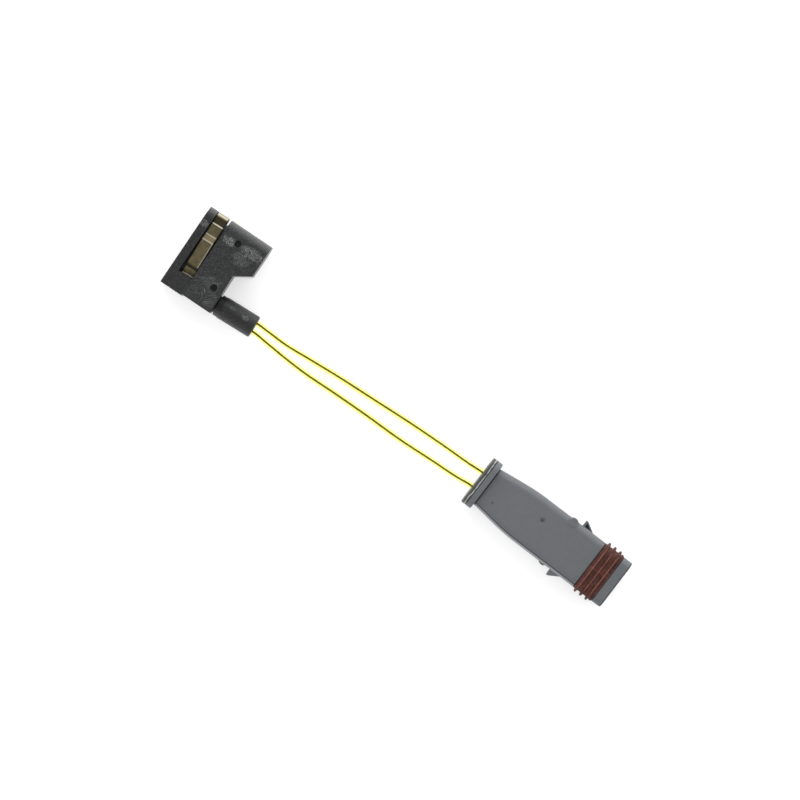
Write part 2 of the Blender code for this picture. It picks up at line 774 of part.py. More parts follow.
def make_tail_sleeve():
    """The round collar: a spigot in the head, a narrow band, and the grip round both leads."""
    collar = SEAT_GAP + TAIL_DIAMETER / 2 * math.tan(TAIL_ANGLE)
    band_end = collar + TAIL_BAND_LENGTH
    radius = TAIL_DIAMETER / 2
    profile = [(TAIL_LENGTH, 0.0)]
    profile += [
        (TAIL_LENGTH - TAIL_EDGE + along, radius - TAIL_EDGE + out)
        for along, out in arc((0.0, 0.0), TAIL_EDGE, 0, 90, TAIL_EDGE_STEPS)
    ]
    profile += [
        (band_end, radius),
        (band_end - TAIL_EDGE / 2, TAIL_BAND_DIAMETER / 2),
        (collar - SEAT_GAP, TAIL_BAND_DIAMETER / 2),
        (collar - SEAT_GAP, SPIGOT_DIAMETER / 2),
        (-SPIGOT_LENGTH, SPIGOT_DIAMETER / 2),
        (-SPIGOT_LENGTH, 0.0),
    ]
    sleeve = turned("tail_sleeve", profile, tail_axis)
    bores = [
        rod(
            "tail_bore",
            LEAD_DIAMETER / 2 + BORE_GAP,
            (-SPIGOT_LENGTH - CUT_PAST, side * TAIL_LEAD_PITCH / 2, 0.0),
            (TAIL_LENGTH + CUT_PAST, side * TAIL_LEAD_PITCH / 2, 0.0),
            tail_axis,
        )
        for side in (1, -1)
    ]
    cut(sleeve, *bores)
    finish(sleeve, "black_nylon")


def smooth_route(points, start_way, end_way, spacing):
    """A smooth curve through the points, read at even steps.

    Each stretch is a cubic whose slopes at a point come from its two neighbours, weighted by distance.
    """
    spans = [(b - a).length for a, b in zip(points, points[1:])]
    slopes = [start_way]
    for i in range(1, len(points) - 1):
        before = (points[i] - points[i - 1]) / spans[i - 1]
        after = (points[i + 1] - points[i]) / spans[i]
        slopes.append((before * spans[i] + after * spans[i - 1]) / (spans[i - 1] + spans[i]))
    slopes.append(end_way)
    fine = [points[0]]
    for a, b, slope_a, slope_b, span in zip(points, points[1:], slopes, slopes[1:], spans):
        for i in range(1, ROUTE_STEPS + 1):
            t = i / ROUTE_STEPS
            place = a * (2 * t**3 - 3 * t**2 + 1) + b * (3 * t**2 - 2 * t**3)
            place += (slope_a * (t**3 - 2 * t**2 + t) + slope_b * (t**3 - t**2)) * span
            fine.append(place)
    total = sum((b - a).length for a, b in zip(fine, fine[1:]))
    count = round(total / spacing)
    route = [points[0]]
    gone = 0.0
    for a, b in zip(fine, fine[1:]):
        step = (b - a).length
        while len(route) < count and gone + step >= total * len(route) / count:
            route.append(a.lerp(b, (total * len(route) / count - gone) / step))
        gone += step
    route.append(points[-1])
    return route


def lead_route(side, free_points, behind, inside):
    """One lead's centreline, from a place behind the tail's root to a place inside the plug.

    It is straight in the tail and in the plug, and smooth between them.
    """
    half = TAIL_LEAD_PITCH / 2
    head = head_datum.matrix_world
    plug = plug_axis.matrix_world
    start = head @ tail_point(behind, side * half)
    leaves = head @ tail_point(TAIL_LENGTH, side * half)
    enters = plug @ Vector((0.0, side * LEAD_PITCH / 2, 0.0))
    end = plug @ Vector((inside, side * LEAD_PITCH / 2, 0.0))
    free = [leaves, *(Vector(point) for point in free_points), enters]
    start_way = (leaves - start).normalized()
    end_way = (end - enters).normalized()
    return [start, *smooth_route(free, start_way, end_way, LEAD_POINT_SPACING), end]


def make_lead(number, side, free_points):
    """A lead's jacket, which is an open tube with a wall, and the strands inside it."""
    jacket_start = -SPIGOT_LENGTH - INSULATION_OVERHANG
    jacket_end = INSULATION_BARREL_END_X + INSULATION_OVERHANG
    route = lead_route(side, free_points, jacket_start, jacket_end)
    jacket = tube(f"lead_insulation_{number}", route, LEAD_DIAMETER / 2, caps=False)
    wall = jacket.modifiers.new("wall", "SOLIDIFY")
    wall.thickness = INSULATION_WALL
    wall.offset = -1.0
    finish(jacket, "yellow_jacket")
    strands_start = SPLICE_MIDDLE + SEAT_GAP
    route = lead_route(side, free_points, strands_start, CONDUCTOR_BARREL_END_X)
    strands = tube(f"lead_conductor_{number}", route, CONDUCTOR_DIAMETER / 2)
    finish(strands, "dark_strands")


def make_rear_cap():
    """The plate behind the flange, with a spigot in each seal bore and a hole for each lead."""
    cap = edged_block(
        "rear_cap",
        0.0,
        CAP_THICKNESS,
        FLANGE_WIDTH,
        FLANGE_HEIGHT,
        FLANGE_CORNER,
        (FLANGE_EDGE, 0.0),
        plug_axis,
    )
    spigot_end = FLANGE_X + CAP_SPIGOT_LENGTH
    for side in (1, -1):
        y = side * LEAD_PITCH / 2
        radius = SEAL_BORE_DIAMETER / 2 - BORE_GAP
        spigot = rod("cap_spigot", radius, (CAP_THICKNESS / 2, y, 0.0), (spigot_end, y, 0.0), plug_axis)
        join(cap, spigot)
    for side in (1, -1):
        y = side * LEAD_PITCH / 2
        radius = LEAD_DIAMETER / 2 + CAP_HOLE_GAP
        hole = rod("cap_hole", radius, (-CUT_PAST, y, 0.0), (spigot_end + CUT_PAST, y, 0.0), plug_axis)
        cut(cap, hole)
    smooth(cap)
    finish(cap, "grey_cap")


def body_sections():
    """The plug body's sections: a narrow rear that swells to full size, then a straight run to the end."""
    sections = [(BODY_X - FLANGE_THICKNESS / 2, BODY_REAR_WIDTH, BODY_REAR_HEIGHT, BODY_CORNER)]
    for i in range(FLARE_STEPS + 1):
        t = i / FLARE_STEPS
        share = 3 * t**2 - 2 * t**3 + FLARE_START_SLOPE * (t**3 - 2 * t**2 + t)
        width = BODY_REAR_WIDTH + (BODY_WIDTH - BODY_REAR_WIDTH) * share
        height = BODY_REAR_HEIGHT + (BODY_HEIGHT - BODY_REAR_HEIGHT) * share
        sections.append((BODY_X + t * BODY_FLARE_LENGTH, width, height, BODY_CORNER))
    edge = BODY_FRONT_EDGE
    sections.append((BODY_END_X - edge, BODY_WIDTH, BODY_HEIGHT, BODY_CORNER))
    sections.append((BODY_END_X, BODY_WIDTH - 2 * edge, BODY_HEIGHT - 2 * edge, BODY_CORNER - edge))
    return sections


def boss(side):
    """A round boss on one long edge: it rises past the upper face on one side, the lower on the other."""
    x = BODY_END_X - BOSS_BACK
    y = side * (BODY_WIDTH / 2 + BOSS_PROUD - BOSS_DIAMETER / 2)
    outer = side * (BODY_HEIGHT / 2 + BOSS_RISE)
    made = rod("boss", BOSS_DIAMETER / 2, (x, y, outer - side * BOSS_LENGTH), (x, y, outer), plug_axis)
    round_edges(made, BOSS_EDGE)
    return made


def barb(side):
    """A latch barb: steep towards the leads and sloping towards the nose."""
    root = BODY_WIDTH / 2 - BARB_TIP
    tip = BODY_WIDTH / 2 + BARB_HEIGHT
    x = BODY_END_X - BARB_BACK
    outline = [
        (x, side * root),
        (x, side * tip),
        (x + BARB_TIP, side * tip),
        (x + BARB_LENGTH, side * BODY_WIDTH / 2),
        (x + BARB_LENGTH, side * root),
    ]
    return plate("barb", outline, -BARB_THICKNESS / 2, BARB_THICKNESS / 2, "XY", plug_axis)


def make_connector_housing():
    housing = loft("connector_housing", body_sections(), plug_axis)
    flange = edged_block(
        "flange",
        FLANGE_X,
        BODY_X,
        FLANGE_WIDTH,
        FLANGE_HEIGHT,
        FLANGE_CORNER,
        (0.0, FLANGE_EDGE),
        plug_axis,
    )
    core = loft(
        "core",
        [
            (BODY_END_X - CUT_PAST, CORE_WIDTH, CORE_HEIGHT, CORE_CORNER),
            (CORE_END_X, CORE_WIDTH, CORE_HEIGHT, CORE_CORNER),
        ],
        plug_axis,
    )
    join(housing, flange, core, boss(1), boss(-1), barb(1), barb(-1))
    for side in (1, -1):
        y = side * LEAD_PITCH / 2
        bore = rod(
            "seal_bore",
            SEAL_BORE_DIAMETER / 2,
            (FLANGE_X - CUT_PAST, y, 0.0),
            (SEAL_BORE_END_X, y, 0.0),
            plug_axis,
            TURN_STEPS,
        )
        cavity = box(
            "terminal_cavity",
            (SEAL_BORE_END_X - CUT_PAST / 2, y - CAVITY_WIDTH / 2, -CAVITY_HEIGHT / 2),
            (CORE_END_X + CUT_PAST, y + CAVITY_WIDTH / 2, CAVITY_HEIGHT / 2),
            plug_axis,
        )
        cut(housing, bore, cavity)
    top = BODY_HEIGHT / 2
    gate = rod(
        "gate_cutter",
        GATE_DIAMETER / 2,
        (GATE_X, GATE_Y, top - GATE_DEPTH),
        (GATE_X, GATE_Y, top + CUT_PAST),
        plug_axis,
    )
    cut(housing, gate)
    smooth(housing)
    finish(housing, "grey_nylon")


def make_front_seal():
    """The ring seal: ribs and a small front bead round the core, with a straight bore."""
    sections = [(SEAL_X, 0.0)]
    for i in range(SEAL_RIB_COUNT):
        x = SEAL_X + SEAL_FIRST_RIB + i * SEAL_RIB_PITCH
        sections += [
            (x - SEAL_RIB_WIDTH / 2, 0.0),
            (x - SEAL_RIB_CREST / 2, SEAL_RIB_HEIGHT),
            (x + SEAL_RIB_CREST / 2, SEAL_RIB_HEIGHT),
            (x + SEAL_RIB_WIDTH / 2, 0.0),
        ]
    bead_x = SEAL_X + SEAL_LENGTH - SEAL_RIB_WIDTH / 2
    sections += [(bead_x, SEAL_BEAD_HEIGHT), (SEAL_X + SEAL_LENGTH, 0.0)]
    seal = loft(
        "front_seal",
        [
            (x, BODY_WIDTH + 2 * out, BODY_HEIGHT + 2 * out, BODY_CORNER + out)
            for x, out in sections
        ],
        plug_axis,
    )
    bore = loft(
        "seal_ring_bore",
        [
            (x, CORE_WIDTH + 2 * CORE_GAP, CORE_HEIGHT + 2 * CORE_GAP, CORE_CORNER + CORE_GAP)
            for x in (SEAL_X - CUT_PAST, SEAL_X + SEAL_LENGTH + CUT_PAST)
        ],
        plug_axis,
    )
    cut(seal, bore)
    smooth(seal)
    finish(seal, "red_silicone")


def mouth_sections():
    """A terminal mouth's sections: straight through the front wall, then flared at the outer face."""
    inner = NOSE_END_X - NOSE_FRONT_WALL - CUT_PAST
    outer = MOUTH_SIZE + 2 * (MOUTH_FLARE + CUT_PAST)
    return [
        (inner, MOUTH_SIZE, MOUTH_SIZE, MOUTH_CORNER),
        (NOSE_END_X - MOUTH_FLARE, MOUTH_SIZE, MOUTH_SIZE, MOUTH_CORNER),
        (NOSE_END_X + CUT_PAST, outer, outer, MOUTH_CORNER + MOUTH_FLARE + CUT_PAST),
    ]


def make_nose_cap():
    """The front ring that holds the seal on the core, with a flared mouth in front of each terminal."""
    nose = edged_block(
        "nose_cap", NOSE_X, NOSE_END_X, BODY_WIDTH, BODY_HEIGHT, BODY_CORNER, (0.0, NOSE_EDGE), plug_axis
    )
    pocket = loft(
        "nose_pocket",
        [
            (x, CORE_WIDTH + 2 * CORE_GAP, CORE_HEIGHT + 2 * CORE_GAP, CORE_CORNER + CORE_GAP)
            for x in (NOSE_X - CUT_PAST, NOSE_END_X - NOSE_FRONT_WALL)
        ],
        plug_axis,
    )
    cut(nose, pocket)
    for side in (1, -1):
        mouth = loft("mouth", mouth_sections(), plug_axis, MOUTH_CORNER_STEPS)
        mouth.location.y = side * LEAD_PITCH / 2
        cut(nose, mouth)
    smooth(nose)
    finish(nose, "grey_nylon")


def make_wire_seal(number, side):
    """A small ribbed seal that fills one bore behind the terminal and grips the lead."""
    root = WIRE_SEAL_ROOT / 2
    crest = SEAL_BORE_DIAMETER / 2 - BORE_GAP
    bore = LEAD_DIAMETER / 2 + BORE_GAP
    pitch = WIRE_SEAL_LENGTH / WIRE_SEAL_RIBS
    outer = []
    for i in range(WIRE_SEAL_RIBS):
        x = WIRE_SEAL_X + (i + 0.5) * pitch
        outer += [
            (x - WIRE_SEAL_RIB_WIDTH / 2, root),
            (x - WIRE_SEAL_RIB_CREST / 2, crest),
            (x + WIRE_SEAL_RIB_CREST / 2, crest),
            (x + WIRE_SEAL_RIB_WIDTH / 2, root),
        ]
    front = [(WIRE_SEAL_END_X, bore), (WIRE_SEAL_END_X, root)]
    rear = [(WIRE_SEAL_X, root), (WIRE_SEAL_X, bore)]
    profile = [*front, *outer[::-1], *rear]
    seal = turned(f"wire_seal_{number}", profile, plug_axis, HOLE_STEPS)
    seal.location.y = side * LEAD_PITCH / 2
    finish(seal, "orange_silicone")


def contact_tongue(y):
    """The bent tongue that presses on the pin: it leaves the box's floor behind the mouth."""
    floor = SHEET - BOX_HEIGHT / 2
    under = [
        (BOX_END_X - TONGUE_START, floor - TONGUE_THICKNESS),
        (BOX_END_X - TONGUE_PEAK, floor + TONGUE_RISE - TONGUE_THICKNESS),
        (BOX_END_X - TONGUE_END, floor + TONGUE_END_RISE),
    ]
    over = [(x, z + TONGUE_THICKNESS) for x, z in reversed(under)]
    half = TONGUE_WIDTH / 2
    return plate("contact_tongue", [*under, *over], y - half, y + half, "XZ", plug_axis)


def make_terminal(number, side):
    """A stamped female terminal: contact box with its tongue, floor plate and two crimped barrels."""
    y = side * LEAD_PITCH / 2
    floor = -BOX_HEIGHT / 2
    box_x = BOX_END_X - BOX_LENGTH
    terminal = box(
        f"terminal_{number}",
        (box_x, y - BOX_WIDTH / 2, floor),
        (BOX_END_X, y + BOX_WIDTH / 2, -floor),
        plug_axis,
    )
    inner = box(
        "box_hollow",
        (box_x - CUT_PAST, y - BOX_WIDTH / 2 + SHEET, floor + SHEET),
        (BOX_END_X + CUT_PAST, y + BOX_WIDTH / 2 - SHEET, -floor - SHEET),
        plug_axis,
    )
    cut(terminal, inner)
    floor_plate = box(
        "floor_plate",
        (INSULATION_BARREL_X, y - STRIP_PLATE_WIDTH / 2, floor + STRIP_PLATE_INSET),
        (box_x + SHEET, y + STRIP_PLATE_WIDTH / 2, floor + SHEET),
        plug_axis,
    )
    jacket_bore = LEAD_DIAMETER / 2 + BORE_GAP
    insulation_barrel = rod(
        "insulation_barrel",
        jacket_bore + SHEET,
        (INSULATION_BARREL_X, y, 0.0),
        (INSULATION_BARREL_END_X, y, 0.0),
        plug_axis,
    )
    strand_bore = CONDUCTOR_DIAMETER / 2 + BORE_GAP
    conductor_barrel = box(
        "conductor_barrel",
        (CONDUCTOR_BARREL_X, y - CONDUCTOR_BARREL_WIDTH / 2, floor + BARREL_INSET),
        (CONDUCTOR_BARREL_END_X, y + CONDUCTOR_BARREL_WIDTH / 2, strand_bore + SHEET),
        plug_axis,
    )
    round_edges(conductor_barrel, SHEET)
    join(terminal, contact_tongue(y), floor_plate, insulation_barrel, conductor_barrel)
    jacket_hole = rod(
        "jacket_hole",
        jacket_bore,
        (INSULATION_BARREL_X - CUT_PAST, y, 0.0),
        (INSULATION_BARREL_END_X + CUT_PAST / 2, y, 0.0),
        plug_axis,
    )
    strand_hole = rod(
        "strand_hole",
        strand_bore,
        (CONDUCTOR_BARREL_X - CUT_PAST / 2, y, 0.0),
        (CONDUCTOR_BARREL_END_X + CUT_PAST, y, 0.0),
        plug_axis,
        FINE_HOLE_STEPS,
    )
    cut(terminal, jacket_hole, strand_hole)
    finish(terminal, "tinned_brass")


def make_terminal_spring(number, side):
    """A thin steel sleeve round the contact box."""
    y = side * LEAD_PITCH / 2
    end = BOX_END_X - SPRING_SETBACK
    half_y = BOX_WIDTH / 2 + SPRING_GAP
    half_z = BOX_HEIGHT / 2 + SPRING_GAP
    sleeve = box(
        f"terminal_spring_{number}",
        (end - SPRING_LENGTH, y - half_y - SPRING_WALL, -half_z - SPRING_WALL),
        (end, y + half_y + SPRING_WALL, half_z + SPRING_WALL),
        plug_axis,
    )
    hollow = box(
        "spring_hollow",
        (end - SPRING_LENGTH - CUT_PAST, y - half_y, -half_z),
        (end + CUT_PAST, y + half_y, half_z),
        plug_axis,
    )
    cut(sleeve, hollow)
    finish(sleeve, "spring_steel")


clear_scene()
parts = new_collection("brake_pad_wear_sensor")
tools = new_collection("cutters")
head_datum = axis("head_datum", HEAD_CORNER_X, HEAD_CORNER_Y, 0.0, 0.0)
tail_axis = axis("tail_axis", *tail_point(0.0, 0.0), TAIL_ANGLE)
tail_axis.parent = head_datum
clip_axis = axis("clip_axis", CLIP_AXIS_X, 0.0, HEAD_MID_Z, CLIP_LEAN)
clip_axis.parent = head_datum
plug_axis = axis("plug_axis", PLUG_X, PLUG_Y, FLANGE_HEIGHT / 2, PLUG_ANGLE)
bpy.context.view_layer.update()

make_head_body()
make_spring_clip()
make_sensing_loop()
make_tail_sleeve()
make_rear_cap()
make_connector_housing()
make_front_seal()
make_nose_cap()
for number, side, free_points in ((1, 1, UPPER_LEAD_POINTS), (2, -1, LOWER_LEAD_POINTS)):
    make_splice_sleeve(number, side)
    make_lead(number, side, free_points)
    make_wire_seal(number, side)
    make_terminal(number, side)
    make_terminal_spring(number, side)
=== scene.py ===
"""Brake pad wear sensor: the finish of its head, clip, leads and plug, and the white studio that it lies in.

Every shape is a skin of points worked out as whole arrays, in metres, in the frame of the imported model.
"""

import math

import bmesh
import bpy
import numpy as np
from bpy.props import FloatProperty, FloatVectorProperty, PointerProperty
from bpy.types import Operator, Panel, PropertyGroup
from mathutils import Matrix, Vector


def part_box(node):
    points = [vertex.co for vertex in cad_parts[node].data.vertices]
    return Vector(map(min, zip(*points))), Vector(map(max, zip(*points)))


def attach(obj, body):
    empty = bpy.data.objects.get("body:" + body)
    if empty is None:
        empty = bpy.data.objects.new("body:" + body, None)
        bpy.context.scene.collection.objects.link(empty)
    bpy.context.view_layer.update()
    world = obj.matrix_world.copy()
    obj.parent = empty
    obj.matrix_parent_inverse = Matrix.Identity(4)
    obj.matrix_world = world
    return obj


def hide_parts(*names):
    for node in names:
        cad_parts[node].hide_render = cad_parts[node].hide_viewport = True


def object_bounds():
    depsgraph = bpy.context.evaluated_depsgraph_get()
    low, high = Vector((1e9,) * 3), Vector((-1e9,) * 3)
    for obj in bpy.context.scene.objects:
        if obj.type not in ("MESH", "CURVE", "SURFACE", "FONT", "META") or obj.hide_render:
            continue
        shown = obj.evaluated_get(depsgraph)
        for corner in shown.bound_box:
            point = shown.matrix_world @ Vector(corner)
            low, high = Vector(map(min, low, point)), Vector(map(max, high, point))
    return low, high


bl_info = {
    "name": "Brake pad wear sensor",
    "version": (1, 0, 0),
    "blender": (4, 5, 0),
    "location": "View3D > Sidebar > Wear sensor",
    "description": "Builds the visible pieces of a brake pad wear sensor round its packed model",
    "category": "Add Mesh",
}

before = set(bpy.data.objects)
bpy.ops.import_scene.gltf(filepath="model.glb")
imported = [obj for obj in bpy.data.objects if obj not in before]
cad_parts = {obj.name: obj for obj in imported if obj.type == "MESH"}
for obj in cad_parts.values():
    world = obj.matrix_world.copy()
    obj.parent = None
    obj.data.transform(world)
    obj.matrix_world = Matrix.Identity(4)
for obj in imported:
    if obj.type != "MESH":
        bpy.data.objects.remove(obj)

MM = 0.001
BODY = "root"
CAD_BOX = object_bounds()
HEAD_LOW, HEAD_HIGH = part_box("head_body")
HEAD_WIDTH, HEAD_HEIGHT, HEAD_THICKNESS = (high - low for low, high in zip(HEAD_LOW, HEAD_HIGH))
MIDDLE_Z = (HEAD_LOW.z + HEAD_HIGH.z) / 2

# How finely round forms are divided
TURN_STEPS = 64
HOLE_STEPS = 32
JACKET_STEPS = 24
WIRE_STEPS = 8
ARC_STEPS = 10
FLAT_STEPS = 5
LEAD_SPACING = 0.5 * MM

# How far a cutter goes past what it cuts, and the radius of fine edges
PAST = 1.0 * MM
FINE_EDGE = 0.05 * MM

# The free stretch of each lead between tail and plug, in plan as the photograph shows it
UPPER_LEAD_POINTS = np.array([
    (14.5, -5.38, 3.75),
    (18.5, -5.58, 2.75),
    (24.0, -5.32, 1.35),
    (31.0, -4.98, 0.74),
    (40.0, -4.78, 0.70),
    (49.0, -4.60, 0.90),
    (57.0, -4.64, 2.30),
    (62.5, -4.76, 3.60),
]) * MM
LOWER_LEAD_POINTS = np.array([
    (15.5, -7.42, 3.65),
    (20.0, -7.86, 2.45),
    (25.0, -8.18, 1.25),
    (32.0, -8.18, 0.74),
    (40.0, -8.28, 0.70),
    (48.5, -8.54, 0.92),
    (56.0, -8.42, 2.20),
    (62.0, -8.36, 3.60),
]) * MM

# In plan: the middle of the plug's rear face, and the point that the camera stands over
PLUG_REAR = (65.7 * MM, -6.45 * MM)
VIEW_POINT = (43.9 * MM, -1.94 * MM)

# On the head, in mm from the foot corner of its strip: the two holes that the mould's pins left
PIN_MARKS = ((8.7, 14.8), (9.6, 4.9))

# Worn ovals on the top of the head and of the tail, in mm: the centre, the two radii and the strength
HEAD_SCUFFS = (
    (7.0, 14.4, 1.5, 1.0, 0.7),
    (12.1, 14.7, 2.8, 1.3, 0.55),
    (10.9, 12.5, 2.2, 1.5, 0.25),
    (0.7, 14.5, 1.1, 0.9, 0.45),
    (8.4, 5.4, 2.1, 1.4, 0.16),
)
TAIL_SCUFFS = ((6.2, 0.6, 0.9, 0.6, 0.3), (3.0, 0.9, 0.8, 0.4, 0.2))

# Scratched patches on the head, in mm: low x, high x, low y, high y, the direction in degrees and the strength
HEAD_SCRATCHES = ((7.0, 8.3, 2.1, 3.5, -48, 0.32), (9.4, 11.2, 1.4, 3.6, 42, 0.13), (5.6, 10.6, 0.9, 6.4, 40, 0.04))

# Along the clip, in mm from the head's foot: bands of painted shade (from, to, share) and lines of painted highlight on
# its bends (middle, share)
CLIP_PAINTED_SHADE = ((12.15, 13.1, 0.1), (13.4, 15.5, 0.35), (6.08, 6.3, 0.6), (15.95, 17.15, 0.72))
CLIP_PAINTED_GLINTS = ((15.64, 0.9), (13.2, 0.25), (11.9, 0.5), (5.8, 0.5))


# Bronze for the painted highlights, as linear light
PAINTED_GLINT_BRONZE = (0.86, 0.80, 0.68, 1.0)

# On top of the plug, in mm from PLUG_REAR: the gate's dimple, and dark marks (x, y, radius, strength)
GATE = (15.1, 1.4)
PLUG_MARKS = ((*GATE, 0.32, 0.9), (5.1, -1.9, 0.3, 0.45), (15.4, 1.75, 0.2, 0.3))

# A latch barb and its pocket in plan: along the plug from the barb's steep side, and out from the body's side
BARB_OUTLINE = np.array([(0.0, -0.5), (0.0, 1.3), (0.35, 1.3), (2.5, 0.0), (2.5, -0.5)]) * MM
BARB_POCKET = np.array([(0.4, 0.1), (0.4, 0.95), (1.75, 0.1)]) * MM

# How far a packed wire seal's rib crests stand from its axis, in mm
WIRE_SEAL_CREST = 1.42

# The two lamps: where they stand in metres, and their power in watts
LAMPS = {"key": ((-0.35, 0.80, 0.45), 1.2), "fill": ((0.1, -0.8, 0.45), 0.6)}


def linear(red, green, blue):
    """The linear colour of three screen values from 0 to 255: each is raised to 2.4 above its short straight foot."""
    screen = np.array([red, green, blue]) / 255
    curve = np.where(screen <= 0.04045, screen / 12.92, ((screen + 0.055) / 1.055) ** 2.4)
    return (*curve.tolist(), 1.0)


def length(name, description, millimetres):
    return FloatProperty(
        name=name, description=description, default=millimetres * MM, min=0.0, precision=5, unit="LENGTH"
    )


def turn(name, description, degrees):
    return FloatProperty(name=name, description=description, default=math.radians(degrees), subtype="ANGLE")


def paint(name, description, red, green, blue):
    return FloatVectorProperty(
        name=name, description=description, default=linear(red, green, blue), size=4, min=0.0, max=1.0,
        subtype="COLOR",
    )


def amount(name, description, value):
    return FloatProperty(name=name, description=description, default=value, min=0.0, max=1.0, subtype="FACTOR")


class HeadSizes(PropertyGroup):
    strip_width: length("Strip width", "Width of the thin strip behind the groove", 1.8)
    groove_width: length("Groove width", "Gap that the pad's backing plate goes into", 3.2)
    groove_floor: length("Groove floor", "Height of the solid foot under the groove", 3.8)
    neck_thickness: length("Neck thickness", "Thickness left between the two grooves", 4.0)
    neck_drop: length("Neck drop", "How far the neck's end lies below the head's end", 1.3)
    neck_radius: length("Neck radius", "Radius of the neck's rounded end", 1.2)
    end_radius: length("End radius", "Radius of the head's rounded end, seen from the side", 2.2)
    foot_width: length("Foot width", "Width of the block at its foot", 6.72)
    waist_width: length("Waist width", "Width of the block below its shoulder", 6.5)
    waist_height: length("Waist height", "Where the shoulder starts to slant", 9.0)
    shoulder_height: length("Shoulder height", "Where the shoulder reaches the block's side", 11.1)
    foot_lift: length("Foot lift", "How far the block's foot lies above the strip's", 0.25)
    notch_width: length("Notch width", "Width of the fine notches in the foot", 0.3)
    notch_depth: length("Notch depth", "Depth of the fine notches in the foot", 0.4)
    pocket_length: length("Pocket length", "Length of the pocket that holds a toe of the clip", 0.75)
    pocket_depth: length("Pocket depth", "Depth of the pocket that holds a toe of the clip", 0.5)
    pin_diameter: length("Pin mark diameter", "Diameter of the two holes that the mould's pins left", 1.4)
    pin_depth: length("Pin mark depth", "Depth of the two holes that the mould's pins left", 1.2)
    edge: length("Edge", "Radius of the moulded edges", 0.14)


class ClipSizes(PropertyGroup):
    width: length("Width", "Width of the ribbon", 2.45)
    thickness: length("Thickness", "Thickness of the ribbon", 0.3)
    side_gap: length("Side gap", "Room beside the toes, and beside the bend, where the clip lies cornerwise", 0.1)
    bend_radius: length("Bend radius", "Radius of the two bends past the neck's end", 1.7)
    corner_radius: length("Corner radius", "Radius of the bends in the leaves", 0.28)
    edge: length("Edge", "Radius of the ribbon's edges", 0.07)
    pad_sink: length("Pad sink", "How far the raised pad lies below the head's face", 0.4)
    play: length("Play", "Room under a leaf and before its toe", 0.12)
    toe_depth: length("Toe depth", "How far a toe reaches below the neck's face", 0.25)
    seat_drop: length("Seat drop", "From the neck's end to where a leaf comes down on it", 1.1)
    ramp_length: length("Ramp length", "Length of the slow ramp up to the step", 2.5)
    step_length: length("Step length", "Length of the steeper step up to the pad", 1.3)
    pad_length: length("Pad length", "Length of the raised pad", 5.7)
    heel_length: length("Heel length", "Length of the bend down from the pad's low end", 0.5)
    ramp_rise: amount("Ramp rise", "Share of the pad's height that the ramp climbs", 0.55)
    heel_rise: amount("Heel rise", "Share of the pad's height that is left after the bend down", 0.35)


class TailSizes(PropertyGroup):
    root_x: length("Root", "Where the tail leaves the head, from the strip's outer face", 11.9)
    axis_y: length("Axis height", "Height of the tail's axis over the head's foot", 2.54)
    angle: turn("Angle", "How far the tail is turned from the head", 2.2)
    diameter: length("Diameter", "Diameter of the grip", 4.7)
    band_diameter: length("Band diameter", "Diameter of the narrow band beside the head", 4.5)
    band_length: length("Band length", "Length of the narrow band beside the head", 1.0)
    tail_length: length("Length", "Length outside the head", 8.7)
    edge: length("Edge", "Radius of the end's edge", 0.35)
    gap: length("Gap", "Gap between the collar and the head", 0.12)
    spigot_length: length("Spigot length", "How far the spigot goes into the head", 1.3)
    spigot_diameter: length("Spigot diameter", "Diameter of the spigot in the head", 3.7)
    chamfer: length("Chamfer", "Chamfer of the band beside the head", 0.04)
    step_length: length("Step length", "Length of the slope from the band to the grip", 0.12)
    shoulder_length: length("Shoulder length", "Length of the grip's blunted rear edge", 0.1)
    shoulder_depth: length("Shoulder depth", "Depth of the grip's blunted rear edge", 0.05)
    bore_play: length("Bore play", "Room round a lead in its bore", 0.08)


class LeadSizes(PropertyGroup):
    diameter: length("Diameter", "Outer diameter of a jacket", 1.2)
    wall: length("Wall", "Wall of a jacket", 0.3)
    core: length("Core", "Diameter of a bundle of strands", 0.4)
    lay: length("Lay", "Length in which the strands turn once", 6.0)
    tail_pitch: length("Tail pitch", "Distance between the leads in the tail", 1.84)
    plug_pitch: length("Plug pitch", "Distance between the leads in the plug", 3.45)
    jacket_root: length("Jacket root", "How far a jacket goes past the tail's root", 1.4)
    jacket_tip: length("Jacket tip", "How far a jacket goes into the plug", 8.97)
    core_root: length("Core root", "How far the strands go past the tail's root", 2.6)
    core_tip: length("Core tip", "How far the strands go into the plug", 12.75)


